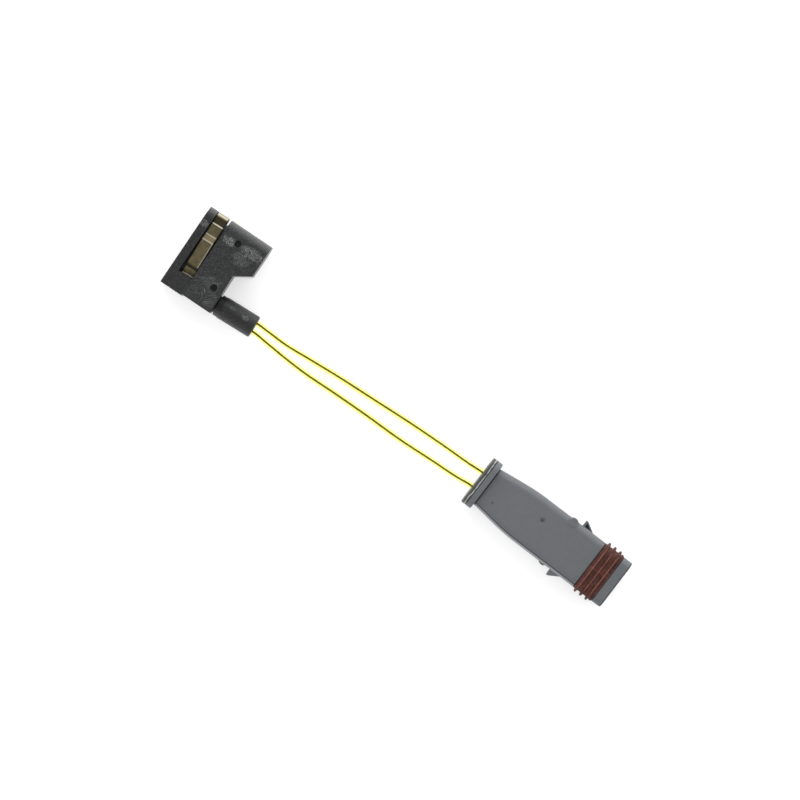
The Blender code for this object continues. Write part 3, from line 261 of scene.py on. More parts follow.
class PlugSizes(PropertyGroup):
    angle: turn("Angle", "How far the plug is turned from the head", -3.4)
    flange_width: length("Flange width", "Width of the cap and the flange", 10.95)
    flange_height: length("Flange height", "Height of the cap and the flange", 8.0)
    flange_corner: length("Flange corner", "Corner radius of the cap and the flange", 2.3)
    cap_thickness: length("Cap thickness", "Thickness of the rear cap", 0.9)
    flange_thickness: length("Flange thickness", "Thickness of the flange", 1.25)
    body_length: length("Body length", "Length from the flange to the front seal", 25.8)
    body_width: length("Body width", "Full width of the body", 10.9)
    body_height: length("Body height", "Full height of the body", 6.8)
    body_corner: length("Body corner", "Corner radius of the body", 1.5)
    body_edge: length("Body edge", "Radius of the body's front edge", 0.25)
    undercut: length("Undercut", "Depth of the fine groove between flange and body", 0.2)
    undercut_width: length("Undercut width", "Width of that groove's floor, and of its slope", 0.12)
    crease_inset: length("Crease inset", "How far the parting crease lies inside the body's lower outline", 0.55)
    crease_depth: length("Crease depth", "Depth of the parting crease", 0.12)
    crease_width: length("Crease width", "Half the width of the parting crease", 0.13)
    rear_width: length("Rear width", "Width of the body at the flange", 8.8)
    rear_height: length("Rear height", "Height of the body at the flange", 6.0)
    flare_length: length("Flare length", "Length over which the body swells", 10.8)
    core_width: length("Core width", "Width of the tongue that carries the seal", 9.0)
    core_height: length("Core height", "Height of the tongue that carries the seal", 4.9)
    core_corner: length("Core corner", "Corner radius of the tongue", 1.8)
    core_play: length("Core play", "Room between the tongue and what sits on it", 0.1)
    seal_bore: length("Seal bore", "Diameter of a wire seal's bore", 3.0)
    seal_bore_length: length("Seal bore length", "Length of a wire seal's bore", 5.84)
    cavity_start: length("Cavity start", "Where a terminal's cavity starts, from the flange", 5.3)
    cavity_width: length("Cavity width", "Width of a terminal's cavity", 2.5)
    cavity_height: length("Cavity height", "Height of a terminal's cavity", 2.7)
    gate_diameter: length("Gate diameter", "Diameter of the gate's dimple", 1.2)
    gate_depth: length("Gate depth", "Depth of the gate's dimple", 0.12)
    boss_back: length("Boss back", "From the body's front back to the bosses", 7.7)
    boss_radius: length("Boss radius", "Radius of a boss", 1.0)
    boss_side: length("Boss side", "How far a boss stands out of the body's side", 0.35)
    boss_rise: length("Boss rise", "How far a boss stands over the body's face", 0.1)
    boss_rim: length("Boss rim", "Radius of a boss's rim", 0.25)
    boss_height: length("Boss height", "Height of a boss", 4.5)
    barb_back: length("Barb back", "From the body's front back to the barbs' steep side", 5.7)
    barb_thickness: length("Barb thickness", "Thickness of a barb", 2.4)
    barb_wall: length("Barb wall", "From the barb's middle to the floor of its pocket", 0.1)
    seal_length: length("Seal length", "Length of the ribbed seal", 4.4)
    rib_height: length("Rib height", "Height of the seal's ribs", 0.6)
    rib_pitch: length("Rib pitch", "Distance between the seal's ribs", 1.36)
    rib_start: length("Rib start", "From the seal's rear to its first rib", 0.75)
    rib_width: length("Rib width", "Half the width of a rib", 0.19)
    bead_height: length("Bead height", "Height of the bead at the seal's front, and its distance from the end", 0.2)
    bead_width: length("Bead width", "Half the width of that bead", 0.14)
    nose_length: length("Nose length", "Length of the nose cap", 2.1)
    nose_floor: length("Nose floor", "Thickness of the nose cap's front", 0.9)
    mouth: length("Mouth", "Side of a terminal's mouth", 1.5)
    mouth_corner: length("Mouth corner", "Corner radius of a terminal's mouth", 0.15)
    mouth_flare: length("Mouth flare", "Depth of the mouth's sloping edge", 0.25)
    cap_step: length("Cap step", "How far the cap's step lies inside its outline", 0.25)
    cap_spigot: length("Cap spigot", "Diameter of the cap's spigots", 2.84)
    cap_spigot_root: length("Cap spigot root", "Where a spigot starts, from the cap's rear", 0.4)
    cap_spigot_tip: length("Cap spigot tip", "Where a spigot ends, from the cap's rear", 1.6)
    cap_hole: length("Cap hole", "Diameter of the cap's holes for the leads", 1.44)
    gap: length("Gap", "Gap between pieces that seat on each other", 0.12)


class SensorColours(PropertyGroup):
    nylon: paint("Black nylon", "Head and tail", 33, 34, 35)
    bronze: paint("Bronze", "Spring clip", 122, 113, 87)
    jacket: paint("Jacket", "Clear yellow jackets of the leads", 252, 249, 158)
    strands: paint("Strands", "Wires inside the jackets", 48, 46, 15)
    grey: paint("Grey nylon", "Plug housing and nose", 103, 106, 109)
    cap: paint("Grey cap", "Rear cap", 79, 81, 76)
    seal: paint("Red silicone", "Front seal", 92, 53, 44)
    wire_seal: paint("Orange silicone", "Seals round the leads", 190, 104, 52)
    copper: paint("Copper", "Sensing loop and splices", 184, 115, 80)
    brass: paint("Tinned brass", "Terminals", 196, 184, 150)
    steel: paint("Spring steel", "Sleeves round the terminals", 150, 152, 156)
    # This colour also serves for the painted highlights on the head's rounded end and on the cap's front edge.
    dust_and_highlight: paint("Dust", "Scuffs and dust on the mouldings", 196, 198, 196)


class StudioSettings(PropertyGroup):
    floor_size: length("Floor size", "Side of the floor", 3000.0)
    floor_white: amount("Floor white", "How white the floor is", 0.86)
    floor_lift: amount("Floor lift", "Light added to the floor where it is looked at", 0.5)
    zenith: FloatProperty(name="Zenith", description="Strength of the light from straight above", default=0.5)
    horizon: FloatProperty(name="Horizon", description="Strength of the light from the horizon", default=2.4)
    window: FloatProperty(name="Window", description="Share that the +Y side adds and the -Y side lacks", default=0.7)
    dusk: FloatProperty(name="Dusk", description="Share that the +X side lacks and the -X side adds", default=0.2)
    view_width: length("View width", "Width that the picture spans at the edge height", 160.0)
    edge_height: length("Edge height", "Height of the outlines that are seen from above", 5.6)
    view_height: length("View height", "Height of the camera over the floor", 900.0)
    view_turn: turn("View turn", "How far the camera is turned round the upright", 34.0)
    lamp_size: length("Lamp size", "Diameter of each lamp", 1000.0)


def rotation(angle):
    """A turn round Z, as a 4 by 4 matrix."""
    matrix = np.eye(4)
    matrix[:2, :2] = [[math.cos(angle), -math.sin(angle)], [math.sin(angle), math.cos(angle)]]
    return matrix


def shift(x, y, z):
    """A move without a turn, as a 4 by 4 matrix."""
    matrix = np.eye(4)
    matrix[:3, 3] = (x, y, z)
    return matrix


def head_frame():
    """The head's own frame, whose origin is the foot corner of its strip."""
    return shift(HEAD_LOW.x, HEAD_LOW.y, HEAD_LOW.z)


def tail_frame(sizes):
    """The tail's own frame: X runs along its axis, away from the head."""
    return head_frame() @ shift(sizes.root_x, sizes.axis_y, MIDDLE_Z) @ rotation(sizes.angle)


def clip_frame(head, clip):
    """The clip lies cornerwise in the groove: its lean is the slack beside it over the groove's length."""
    slack = head.groove_width - clip.width - 2 * clip.side_gap
    lean = math.asin(slack / (HEAD_HEIGHT - head.groove_floor))
    axis_x = head.strip_width + head.groove_width / 2 + (head.groove_floor + HEAD_HEIGHT) / 2 * math.tan(lean)
    return head_frame() @ shift(axis_x, 0.0, MIDDLE_Z) @ rotation(lean)


def plug_frame(sizes):
    """The plug's own frame: X runs along its axis, from the rear of the cap to the front."""
    return shift(*PLUG_REAR, sizes.flange_height / 2) @ rotation(sizes.angle)


def plug_stations(sizes):
    """Where the plug's flange, body, seal and nose start and where its front is, from the rear of the cap."""
    flange = sizes.cap_thickness + sizes.gap
    body = flange + sizes.flange_thickness
    seal = body + sizes.body_length + sizes.gap
    nose = seal + sizes.seal_length + sizes.gap
    return flange, body, seal, nose, nose + sizes.nose_length


def placed(points, matrix):
    """Points carried from a piece's own frame into the world."""
    return points @ matrix[:3, :3].T + matrix[:3, 3]


def arc(centre, radius, start, end, steps=ARC_STEPS):
    """Points on a circle: the centre plus the radius times the cosine and sine of even angles, in degrees."""
    angles = np.radians(np.linspace(start, end, steps + 1))
    return np.array(centre) + radius * np.stack([np.cos(angles), np.sin(angles)], -1)


def outline(width, height, corner, steps=ARC_STEPS):
    """Rings round rectangles with round corners, one for each entry of the arrays.

    A point is a corner's centre plus the corner radius times a direction. Along a flat the direction stays
    and the centre runs from one corner to the next, slowly at both ends.
    """
    signs = np.array([(1, 1), (-1, 1), (-1, -1), (1, -1)], float)
    easing = (1 - np.cos(np.pi * np.linspace(0, 1, FLAT_STEPS + 2)[1:-1, None])) / 2
    centres = []
    ways = []
    for i in range(4):
        way = arc((0.0, 0.0), 1.0, 90 * i, 90 * i + 90, steps)
        centres += [np.repeat(signs[i:i + 1], len(way), 0), signs[i] + (signs[(i + 1) % 4] - signs[i]) * easing]
        ways += [way, np.repeat(way[-1:], FLAT_STEPS, 0)]
    centres = np.concatenate(centres)
    ways = np.concatenate(ways)
    size = np.stack(np.broadcast_arrays(width, height), -1)[:, None] / 2
    corner = np.broadcast_to(corner, len(size))[:, None, None]
    return centres * (size - corner) + ways * corner


def tube_faces(rows, columns, ring):
    """Quads between each ring of points and the next, and from the last to the first where they form a ring."""
    row = np.arange(rows if ring else rows - 1)[:, None]
    column = np.arange(columns)[None]
    beside = (column + 1) % columns
    after = (row + 1) % rows * columns
    here = row * columns
    return np.stack([here + column, here + beside, after + beside, after + column], -1).reshape(-1, 4).tolist()


def skin(rings, ring=False):
    """A closed skin over rings of points. Its ends are flat faces, unless its last ring meets its first.

    The first end runs round the other way than the last, so that both look outwards.
    """
    rows, columns = rings.shape[:2]
    faces = tube_faces(rows, columns, ring)
    if not ring:
        first = np.arange(columns)
        faces += [first[::-1].tolist(), (first + (rows - 1) * columns).tolist()]
    return rings.reshape(-1, 3), faces


def extruded(flat, low, high, plane):
    """A flat outline carried straight from low to high across its plane: XY is carried up, YZ is carried along X."""
    ends = np.broadcast_to(np.array([low, high])[:, None, None], (2, len(flat), 1))
    flat = np.broadcast_to(flat, (2, *flat.shape))
    return skin(np.concatenate([flat, ends] if plane == "XY" else [ends, flat], -1))


def block(low, high):
    """A box between two corners."""
    (x0, y0, z0), (x1, y1, z1) = low, high
    return extruded(np.array([(x0, y0), (x1, y0), (x1, y1), (x0, y1)]), z0, z1, "XY")


def circle(radius, steps=HOLE_STEPS):
    """Points all round the origin."""
    return arc((0.0, 0.0), radius, 0, 360, steps)[:-1]


def bar(y, radius, low, high):
    """A round bar along X: a spigot, or what a bore is cut with."""
    return extruded(circle(radius) + (y, 0.0), low, high, "YZ")


def turned(profile):
    """A profile of (along, radius) turned round X: each point goes round a circle of its radius."""
    angles = np.linspace(0, 2 * np.pi, TURN_STEPS, endpoint=False)
    along, radius = np.array(profile).T
    rings = np.empty((len(along), TURN_STEPS, 3))
    rings[..., 0] = along[:, None]
    rings[..., 1] = radius[:, None] * np.cos(angles)
    rings[..., 2] = radius[:, None] * np.sin(angles)
    return skin(rings)


def along_x(x, rings):
    """Flat rings, each stood across X at its own place."""
    return np.concatenate([np.broadcast_to(x[:, None, None], (*rings.shape[:2], 1)), rings], -1)


def lofted(x, width, height, corner):
    """A skin over rounded rectangles that stand across X. One width, height or corner can serve for all."""
    width = np.broadcast_to(width, len(x))
    return skin(along_x(np.asarray(x), outline(width, height, corner)))


def rim(end, edge, way):
    """Places along X and insets of a loft's rounded end, from its side to its face: a quarter circle."""
    angles = np.linspace(0, np.pi / 2, ARC_STEPS // 2 + 1)
    return end - way * edge * (1 - np.sin(angles)), edge * (1 - np.cos(angles))


def rounded_slab(low, high, width, height, corner, low_edge, high_edge):
    """A rounded rectangle carried along X with rounded rims."""
    low_x, low_inset = rim(low, low_edge, -1)
    high_x, high_inset = rim(high, high_edge, 1)
    x = np.concatenate([low_x[::-1], high_x])
    inset = np.concatenate([low_inset[::-1], high_inset])
    return lofted(x, width - 2 * inset, height - 2 * inset, corner - inset)


def unit(vectors):
    """Vectors made one long."""
    return vectors / np.linalg.norm(vectors, axis=-1, keepdims=True)


def travelled(path):
    """How far each point of a path is from its start, along the path."""
    return np.concatenate([[0.0], np.cumsum(np.linalg.norm(np.diff(path, axis=0), axis=1))])


def carried(section, path, across, up):
    """A flat section carried along a path: each ring is the path's point plus the section's two parts across and up."""
    return path[:, None] + section[None, :, :1] * across[:, None] + section[None, :, 1:] * up[:, None]


def directions(path):
    """Unit vectors across and over a path that never runs straight up."""
    along = unit(np.gradient(path, axis=0))
    across = unit(np.cross((0.0, 0.0, 1.0), along))
    return across, np.cross(along, across)


def rounded_path(points, radius, steps=6):
    """A path whose corners are arcs of the radius, or of a smaller one where a side is short.

    An arc's points are the two directions from its centre to its ends, mixed by the sines of the angle.
    """
    points = np.asarray(points, float)
    path = [points[:1]]
    shares = np.linspace(0, 1, steps + 1)[:, None]
    for before, corner, after in zip(points, points[1:], points[2:]):
        sides = np.array([before - corner, after - corner])
        spans = np.linalg.norm(sides, axis=1)
        back, onward = sides / spans[:, None]
        half = math.acos(np.clip(back @ onward, -1, 1)) / 2
        reach = min(radius / math.tan(half), 0.49 * spans.min())
        bend = reach * math.tan(half)
        centre = corner + unit(back + onward) * (bend / math.sin(half))
        first = corner + back * reach - centre
        last = corner + onward * reach - centre
        sweep = math.pi - 2 * half
        path.append(centre + (np.sin((1 - shares) * sweep) * first + np.sin(shares * sweep) * last) / math.sin(sweep))
    return np.concatenate([*path, points[-1:]])


def solid(name, matrix, *skins):
    """An object of closed skins, each turned to face outwards if the volume that it holds comes out negative."""
    whole = bmesh.new()
    for points, faces in skins:
        mesh = bpy.data.meshes.new(name)
        mesh.from_pydata(placed(points, matrix).tolist(), [], faces)
        part = bmesh.new()
        part.from_mesh(mesh)
        if part.calc_volume(signed=True) < 0:
            bmesh.ops.reverse_faces(part, faces=part.faces)
        part.to_mesh(mesh)
        part.free()
        whole.from_mesh(mesh)
        bpy.data.meshes.remove(mesh)
    made = bpy.data.meshes.new(name)
    whole.to_mesh(made)
    whole.free()
    obj = bpy.data.objects.new(name, made)
    bpy.context.scene.collection.objects.link(obj)
    return obj


def combine(obj, others, operation):
    """Cuts other objects from this one, or joins them to it, and removes them. The result is its new mesh."""
    for other in others:
        modifier = obj.modifiers.new(other.name, "BOOLEAN")
        modifier.operation = operation
        modifier.solver = "EXACT"
        modifier.object = other
    bpy.context.view_layer.update()
    graph = bpy.context.evaluated_depsgraph_get()
    mesh = bpy.data.meshes.new_from_object(obj.evaluated_get(graph))
    obj.modifiers.clear()
    obj.data = mesh
    for other in others:
        bpy.data.objects.remove(other, do_unlink=True)


def merge(obj, others):
    """Takes other objects' skins into this object's mesh as they are, and removes those objects."""
    whole = bmesh.new()
    for piece in (obj, *others):
        whole.from_mesh(piece.data)
    whole.to_mesh(obj.data)
    whole.free()
    for other in others:
        bpy.data.objects.remove(other, do_unlink=True)


def soften(obj, edge, sharp=math.radians(30)):
    """Rounds the sharp edges, and lets the large faces rule the shading."""
    if edge:
        bevel = obj.modifiers.new("edges", "BEVEL")
        bevel.width = edge
        bevel.segments = 3
        bevel.limit_method = "ANGLE"
        bevel.angle_limit = sharp
        bevel.use_clamp_overlap = True
    obj.data.shade_smooth()
    weighted = obj.modifiers.new("shading", "WEIGHTED_NORMAL")
    weighted.mode = "FACE_AREA"
    weighted.keep_sharp = True


def dress(obj, finish, slot, *nodes):
    """Gives a new piece its finish and its body, and hides the nodes that it stands for. The slot is not used."""
    obj.data.materials.clear()
    obj.data.materials.append(finish.material)
    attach(obj, BODY)
    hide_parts(*nodes)


def dress_node(name, finish):
    """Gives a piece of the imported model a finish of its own."""
    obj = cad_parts[name]
    if not obj.material_slots:
        obj.data.materials.append(finish.material)
    for slot in obj.material_slots:
        slot.material = finish.material


class Value:
    """A socket of a node tree. Arithmetic on it adds the Math nodes that work it out."""

    def __init__(self, nodes, socket):
        self.nodes = nodes
        self.socket = socket

    def __add__(self, other):
        return self.nodes.math_of("ADD", self, other)

    def __sub__(self, other):
        return self.nodes.math_of("SUBTRACT", self, other)

    def __rsub__(self, other):
        return self.nodes.math_of("SUBTRACT", other, self)

    def __mul__(self, other):
        return self.nodes.math_of("MULTIPLY", self, other)

    def __truediv__(self, other):
        return self.nodes.math_of("DIVIDE", self, other)

    def __pow__(self, other):
        return self.nodes.math_of("POWER", self, other)

    __radd__ = __add__
    __rmul__ = __mul__


class Nodes:
    """The node tree of a material or of the world."""

    def __init__(self, owner):
        owner.use_nodes = True
        self.tree = owner.node_tree

    def node(self, kind, settings, values, output=0):
        """Adds a node: first its settings, then the values or links of its sockets. Gives one of its outputs."""
        node = self.tree.nodes.new("ShaderNode" + kind)
        for name, setting in settings.items():
            setattr(node, name, setting)
        self.fill(node, values)
        return Value(self, node.outputs[output])

    def fill(self, node, values):
        for key, value in values.items():
            if isinstance(value, Value):
                self.tree.links.new(value.socket, node.inputs[key])
            else:
                node.inputs[key].default_value = value

    def outputs(self, kind, values, *names):
        """Several outputs of one node."""
        node = self.tree.nodes.new("ShaderNode" + kind)
        self.fill(node, values)
        return [Value(self, node.outputs[name]) for name in names]

    def math_of(self, operation, first, second):
        """A Math node that works on two values."""
        return self.node("Math", {"operation": operation}, {0: first, 1: second})

    def step(self, value, low, high):
        """A smooth rise from 0 at low to 1 at high."""
        values = {"Value": value, "From Min": low, "From Max": high}
        return self.node("MapRange", {"interpolation_type": "SMOOTHSTEP"}, values)


class Finish(Nodes):
    """A material of procedural nodes round one Principled shader."""

    def __init__(self, name):
        self.material = bpy.data.materials.new(name)
        super().__init__(self.material)
        self.shader = self.tree.nodes["Principled BSDF"]

    def place(self, matrix):
        """Object coordinates in millimetres, in the frame of a piece."""
        at = self.node("TexCoord", {}, {}, "Object")
        turned_by = math.atan2(matrix[1, 0], matrix[0, 0])
        values = {
            "Vector": at,
            "Location": tuple(matrix[:3, 3]),
            "Rotation": (0.0, 0.0, turned_by),
            "Scale": (MM, MM, MM),
        }
        return self.node("Mapping", {"vector_type": "TEXTURE"}, values)

    def base(self):
        """What feeds the shader's base colour so far."""
        return Value(self, self.shader.inputs["Base Color"].links[0].from_socket)

    def parts(self, at):
        """The three coordinates of a place."""
        return self.outputs("SeparateXYZ", {0: at}, "X", "Y", "Z")

    def streaks(self, at, angle, along, across, detail=1.0):
        """A noise drawn out into streaks of a length and a width in millimetres, at an angle about Z."""
        values = {"Vector": at, "Rotation": (0.0, 0.0, angle), "Scale": (along, across, across)}
        return self.noise(self.node("Mapping", {"vector_type": "TEXTURE"}, values), 1.0, detail, 0.5)

    def noise(self, at, scale, detail=2.0, roughness=0.5):
        values = {"Vector": at, "Scale": scale, "Detail": detail, "Roughness": roughness}
        return self.node("TexNoise", {}, values)

    def band(self, value, low, high, soft):
        """1 between low and high, fading to 0 over soft on both sides."""
        return self.step(value, low - soft, low) * (1 - self.step(value, high, high + soft))

    def spot(self, x, y, centre_x, centre_y, radius_x, radius_y, ragged):
        """1 in an oval that fades out at a ragged edge."""
        along = (x - centre_x) / radius_x
        across = (y - centre_y) / radius_y
        away = along * along + across * across
        return 1 - self.step(away + ragged, 0.3, 1.1)

    def mix(self, share, first, second):
        """A colour between two others."""
        values = {0: share, 6: tuple_of(first), 7: tuple_of(second)}
        return self.node("Mix", {"data_type": "RGBA"}, values, 2)

    def bump(self, height, depth, below=None):
        """A relief of the given depth, over another relief where there is one."""
        values = {"Height": height, "Distance": depth, "Strength": 1.0}
        if below:
            values["Normal"] = below
        return self.node("Bump", {}, values)

    def surface(self, **values):
        """Sets the shader's sockets, named with underscores for spaces."""
        self.fill(self.shader, {name.replace("_", " "): value for name, value in values.items()})
        return self


def tuple_of(colour):
    """A colour as a node takes it: a link stays as it is."""
    return colour if isinstance(colour, Value) else tuple(colour)


def shade(colour, factor):
    """A colour made darker or lighter."""
    return tuple(min(1.0, part * factor) for part in tuple(colour)[:3]) + (1.0,)


def black_nylon(name, colours, matrix, top, scuffs, scratches, tone, painted_shade_x, painted_end_highlight):
    """Black moulding: mottled and finely grained, with worn ovals and short scratches on its top, and a painted
    highlight on its rounded end.

    The tone darkens the whole, and below the given x it is a little darker still, as painted shade. A scuff is a haze
    of dust with no edge of its own.
    """
    made = Finish(name)
    at = made.place(matrix)
    x, y, z = made.parts(at)
    cloud = made.noise(at, 0.35, 3.0, 0.6)
    mottle = made.noise(at, 1.7, 5.0, 0.72)
    flecks = made.noise(at, 3.4, 3.0, 0.6)
    grain = made.noise(at, 6.0, 2.0, 0.6)
    colour = made.mix(made.step(mottle, 0.3, 0.7), shade(colours.nylon, 0.25 * tone), shade(colours.nylon, 1.5 * tone))
    colour = made.mix(cloud * 0.5, colour, shade(colours.nylon, 1.1 * tone))
    colour = made.mix(made.step(flecks, 0.48, 0.70), colour, shade(colours.nylon, 3.4 * tone))
    # Painted shade: below the given x the moulding is a little darker.
    colour = made.mix((1 - made.step(x, painted_shade_x - 0.1, painted_shade_x)) * 0.35, colour, shade(colours.nylon, 0.2))
    # Painted highlight: the rounded end is made lighter towards its tip.
    colour = made.mix(made.step(y, 16.8, 18.25) * painted_end_highlight, colour, colours.dust_and_highlight)
    sparks = made.step(made.noise(at, 5.4, 3.0, 0.7), 0.46, 0.64)
    ragged = made.noise(at, 1.5, 4.0, 0.7) * 3.0 - 1.5
    worn = 0.0
    for centre_x, centre_y, radius_x, radius_y, strength in scuffs:
        worn = made.spot(x, y, centre_x, centre_y, radius_x, radius_y, ragged) * sparks * strength + worn
    for low_x, high_x, low_y, high_y, degrees, strength in scratches:
        patch = made.band(x, low_x, high_x, 0.5) * made.band(y, low_y, high_y, 0.5)
        streaks = made.step(made.streaks(at, math.radians(degrees), 2.2, 0.13, 0.0), 0.48, 0.80)
        worn = patch * streaks * strength + worn
    colour = made.mix(worn * made.step(z, top - 0.3, top - 0.05), colour, colours.dust_and_highlight)
    relief = made.bump(grain, 0.05 * MM, made.bump(mottle, 0.12 * MM))
    return made.surface(
        Base_Color=colour, Roughness=0.24 + mottle * 0.2, Normal=relief, Specular_IOR_Level=0.5
    )


def bronze(colours, matrix):
    """Rolled strip with uneven tarnish, bands of painted shade that are darkest near the bend, and painted highlights
    on its bends, its toe and one edge.
    """
    made = Finish("bronze")
    at = made.place(matrix)
    x, y = made.parts(at)[:2]
    rolled = made.streaks(at, math.pi / 2, 2.0, 0.11, 2.0)
    tarnish = made.noise(at, 0.9, 4.0, 0.6)
    colour = made.mix(made.step(tarnish, 0.3, 0.7), shade(colours.bronze, 1.1), shade(colours.bronze, 0.72))
    # Painted shade: bands where the ribbon's facets turn from the light are darkened.
    for low, high, share in CLIP_PAINTED_SHADE:
        colour = made.mix(made.band(y, low, high, 0.12) * share, colour, shade(colours.bronze, 0.15))
    # Painted highlights: a light line along one edge of the pad, and lines on the leaf's bends.
    painted_highlight = made.band(x, 1.02, 1.25, 0.05) * made.band(y, 6.3, 11.8, 0.2) * 0.4
    for middle, share in CLIP_PAINTED_GLINTS:
        painted_highlight = painted_highlight + made.band(y, middle - 0.08, middle + 0.08, 0.08) * share
    # Painted highlight on the toe's bend: near white, and not metal there.
    toe = made.band(y, 3.8, 4.22, 0.08)
    # Painted highlight too where the ribbon starts its bend past the neck.
    painted_highlight = painted_highlight + toe + made.step(y, 17.25, 17.6) * 0.3
    colour = made.mix(painted_highlight, colour, PAINTED_GLINT_BRONZE)
    return made.surface(
        Base_Color=colour,
        Metallic=1 - toe,
        Roughness=0.3 + tarnish * 0.2,
        Normal=made.bump(rolled, 0.006 * MM),
    )


def clear_jacket(colours):
    """Clear yellow plastic, a little cloudy and finely drawn along the lead."""
    made = Finish("yellow_jacket")
    at = made.place(np.eye(4))
    cloud = made.noise(at, 1.2, 3.0, 0.5)
    colour = made.mix(cloud, colours.jacket, shade(colours.jacket, 0.86))
    return made.surface(
        Base_Color=colour,
        Roughness=0.1 + cloud * 0.1,
        Transmission_Weight=0.95,
        IOR=1.28,
        Normal=made.bump(made.noise(at, 3.0, 2.0, 0.5), 0.01 * MM),
    )


def drawn_wire(name, colour, metallic, roughness):
    """Drawn or stamped metal with uneven tarnish."""
    made = Finish(name)
    at = made.place(np.eye(4))
    tarnish = made.noise(at, 1.6, 4.0, 0.6)
    fine = made.noise(at, 9.0, 2.0, 0.5)
    return made.surface(
        Base_Color=made.mix(tarnish, shade(colour, 1.15), shade(colour, 0.6)),
        Metallic=metallic,
        Roughness=roughness + tarnish * 0.15,
        Normal=made.bump(fine, 0.005 * MM),
    )


def grey_nylon(name, colour, matrix, grain_depth, marks):
    """Grey moulding: very fine grain, faint flow clouds, and dark marks at named places on its top."""
    made = Finish(name)
    at = made.place(matrix)
    x, y, z = made.parts(at)
    cloud = made.noise(at, 0.22, 3.0, 0.55)
    mottle = made.noise(at, 1.6, 4.0, 0.65)
    grain = made.noise(at, 6.0, 2.0, 0.6)
    tint = made.mix(cloud, shade(colour, 0.94), shade(colour, 1.07))
    tint = made.mix(made.step(mottle, 0.35, 0.7) * 0.5, tint, shade(colour, 1.14))
    for mark_x, mark_y, radius, strength in marks:
        mark = made.spot(x, y, mark_x, mark_y, radius, radius, mottle - 0.5) * made.step(z, 2.5, 3.0)
        tint = made.mix(mark * strength, tint, shade(colour, 0.15))
    relief = made.bump(grain, grain_depth, made.bump(mottle, grain_depth * 1.5))
    return made.surface(
        Base_Color=tint, Roughness=0.36 + mottle * 0.22, Normal=relief, Specular_IOR_Level=0.45
    )


def flare_share(t):
    """How much of its swelling the plug's body has at a share t of the flare: a cubic, steep first and level last."""
    return 1.15 * t + 0.7 * t**2.0 - 0.85 * t**3.0


def housing_nylon(sizes, colours, matrix):
    """Grey moulding with the mould's parting line: painted shade in the crease along the lower edge, and a painted
    highlight on a narrow band beside it.

    The low barb, past that edge, is painted lighter too, as a painted highlight, and the gap to the cap and the body's
    root carry painted shade.
    """
    made = grey_nylon("grey_nylon", colours.grey, matrix, 0.012 * MM, PLUG_MARKS)
    at = made.place(matrix)
    x, y, z = made.parts(at)
    start = plug_stations(sizes)[1] / MM
    t = made.node("MapRange", {}, {"Value": x, "From Min": start, "From Max": start + sizes.flare_length / MM})
    swell = (sizes.body_width - sizes.rear_width) / 2 / MM
    inside = y + sizes.rear_width / 2 / MM + flare_share(t) * swell
    upper = made.step(z, 0.9, 1.3) * made.band(x, start + 0.4, 28.2, 0.2)
    inset = sizes.crease_inset / MM
    # Painted shade: the parting crease is darkened.
    crease = made.band(inside, inset - 0.05, inset + 0.05, 0.07) * upper
    # Painted highlight: a light band along the lower edge, where the rounded corner catches the light.
    painted_rail_highlight = made.band(inside, -0.2, 0.42, 0.06) * upper
    # Painted shade in the gap to the cap and where the body leaves the flange.
    painted_seam_shade = made.band(x, 0.9, 1.02, 0.05) * 0.8 + made.band(x, start - 0.06, start + 0.10, 0.05) * 0.6
    # Painted highlight: past the body's lower outline, the low barb is made lighter.
    tint = made.mix((1 - made.step(inside, -0.3, -0.22)) * upper * 0.5, made.base(), shade(colours.grey, 2.2))
    tint = made.mix(painted_rail_highlight * 0.66, tint, shade(colours.grey, 2.6))
    tint = made.mix(crease * 0.92, tint, shade(colours.grey, 0.10))
    tint = made.mix(painted_seam_shade, tint, shade(colours.grey, 0.12))
    return made.surface(Base_Color=tint)


def nose_nylon(sizes, colours, matrix):
    """Grey moulding with painted shade on the rim at its front."""
    made = grey_nylon("grey_nylon_nose", colours.grey, matrix, 0.012 * MM, [])
    x = made.parts(made.place(matrix))[0]
    front = plug_stations(sizes)[-1] / MM
    # Painted shade on the rounded front rim, which faces away from the light.
    painted_rim_shade = made.step(x, front - 0.35, front - 0.2)
    return made.surface(Base_Color=made.mix(painted_rim_shade * 0.85, made.base(), shade(colours.grey, 0.12)))


def cap_nylon(colours, matrix):
    """Rougher grey moulding with a broken painted highlight along a wavy line near its front edge, and a wavy darker
    line behind it.
    """
    made = grey_nylon("grey_cap", colours.cap, matrix, 0.03 * MM, [])
    at = made.place(matrix)
    x = made.parts(at)[0]
    wave = made.noise(at, 0.35, 3.0, 0.6)
    line = x + wave * 0.8 - 0.4
    # Painted highlight: a broken, wavy light line near the front edge.
    edge = made.band(line, 0.58, 0.74, 0.05) * made.step(made.noise(at, 1.3, 2.0), 0.34, 0.48)
    dark = made.band(line, 0.36, 0.48, 0.06)
    tint = made.mix(dark * 0.6, made.base(), shade(colours.cap, 0.3))
    tint = made.mix(edge * 0.8, tint, colours.dust_and_highlight)
    return made.surface(Base_Color=tint)


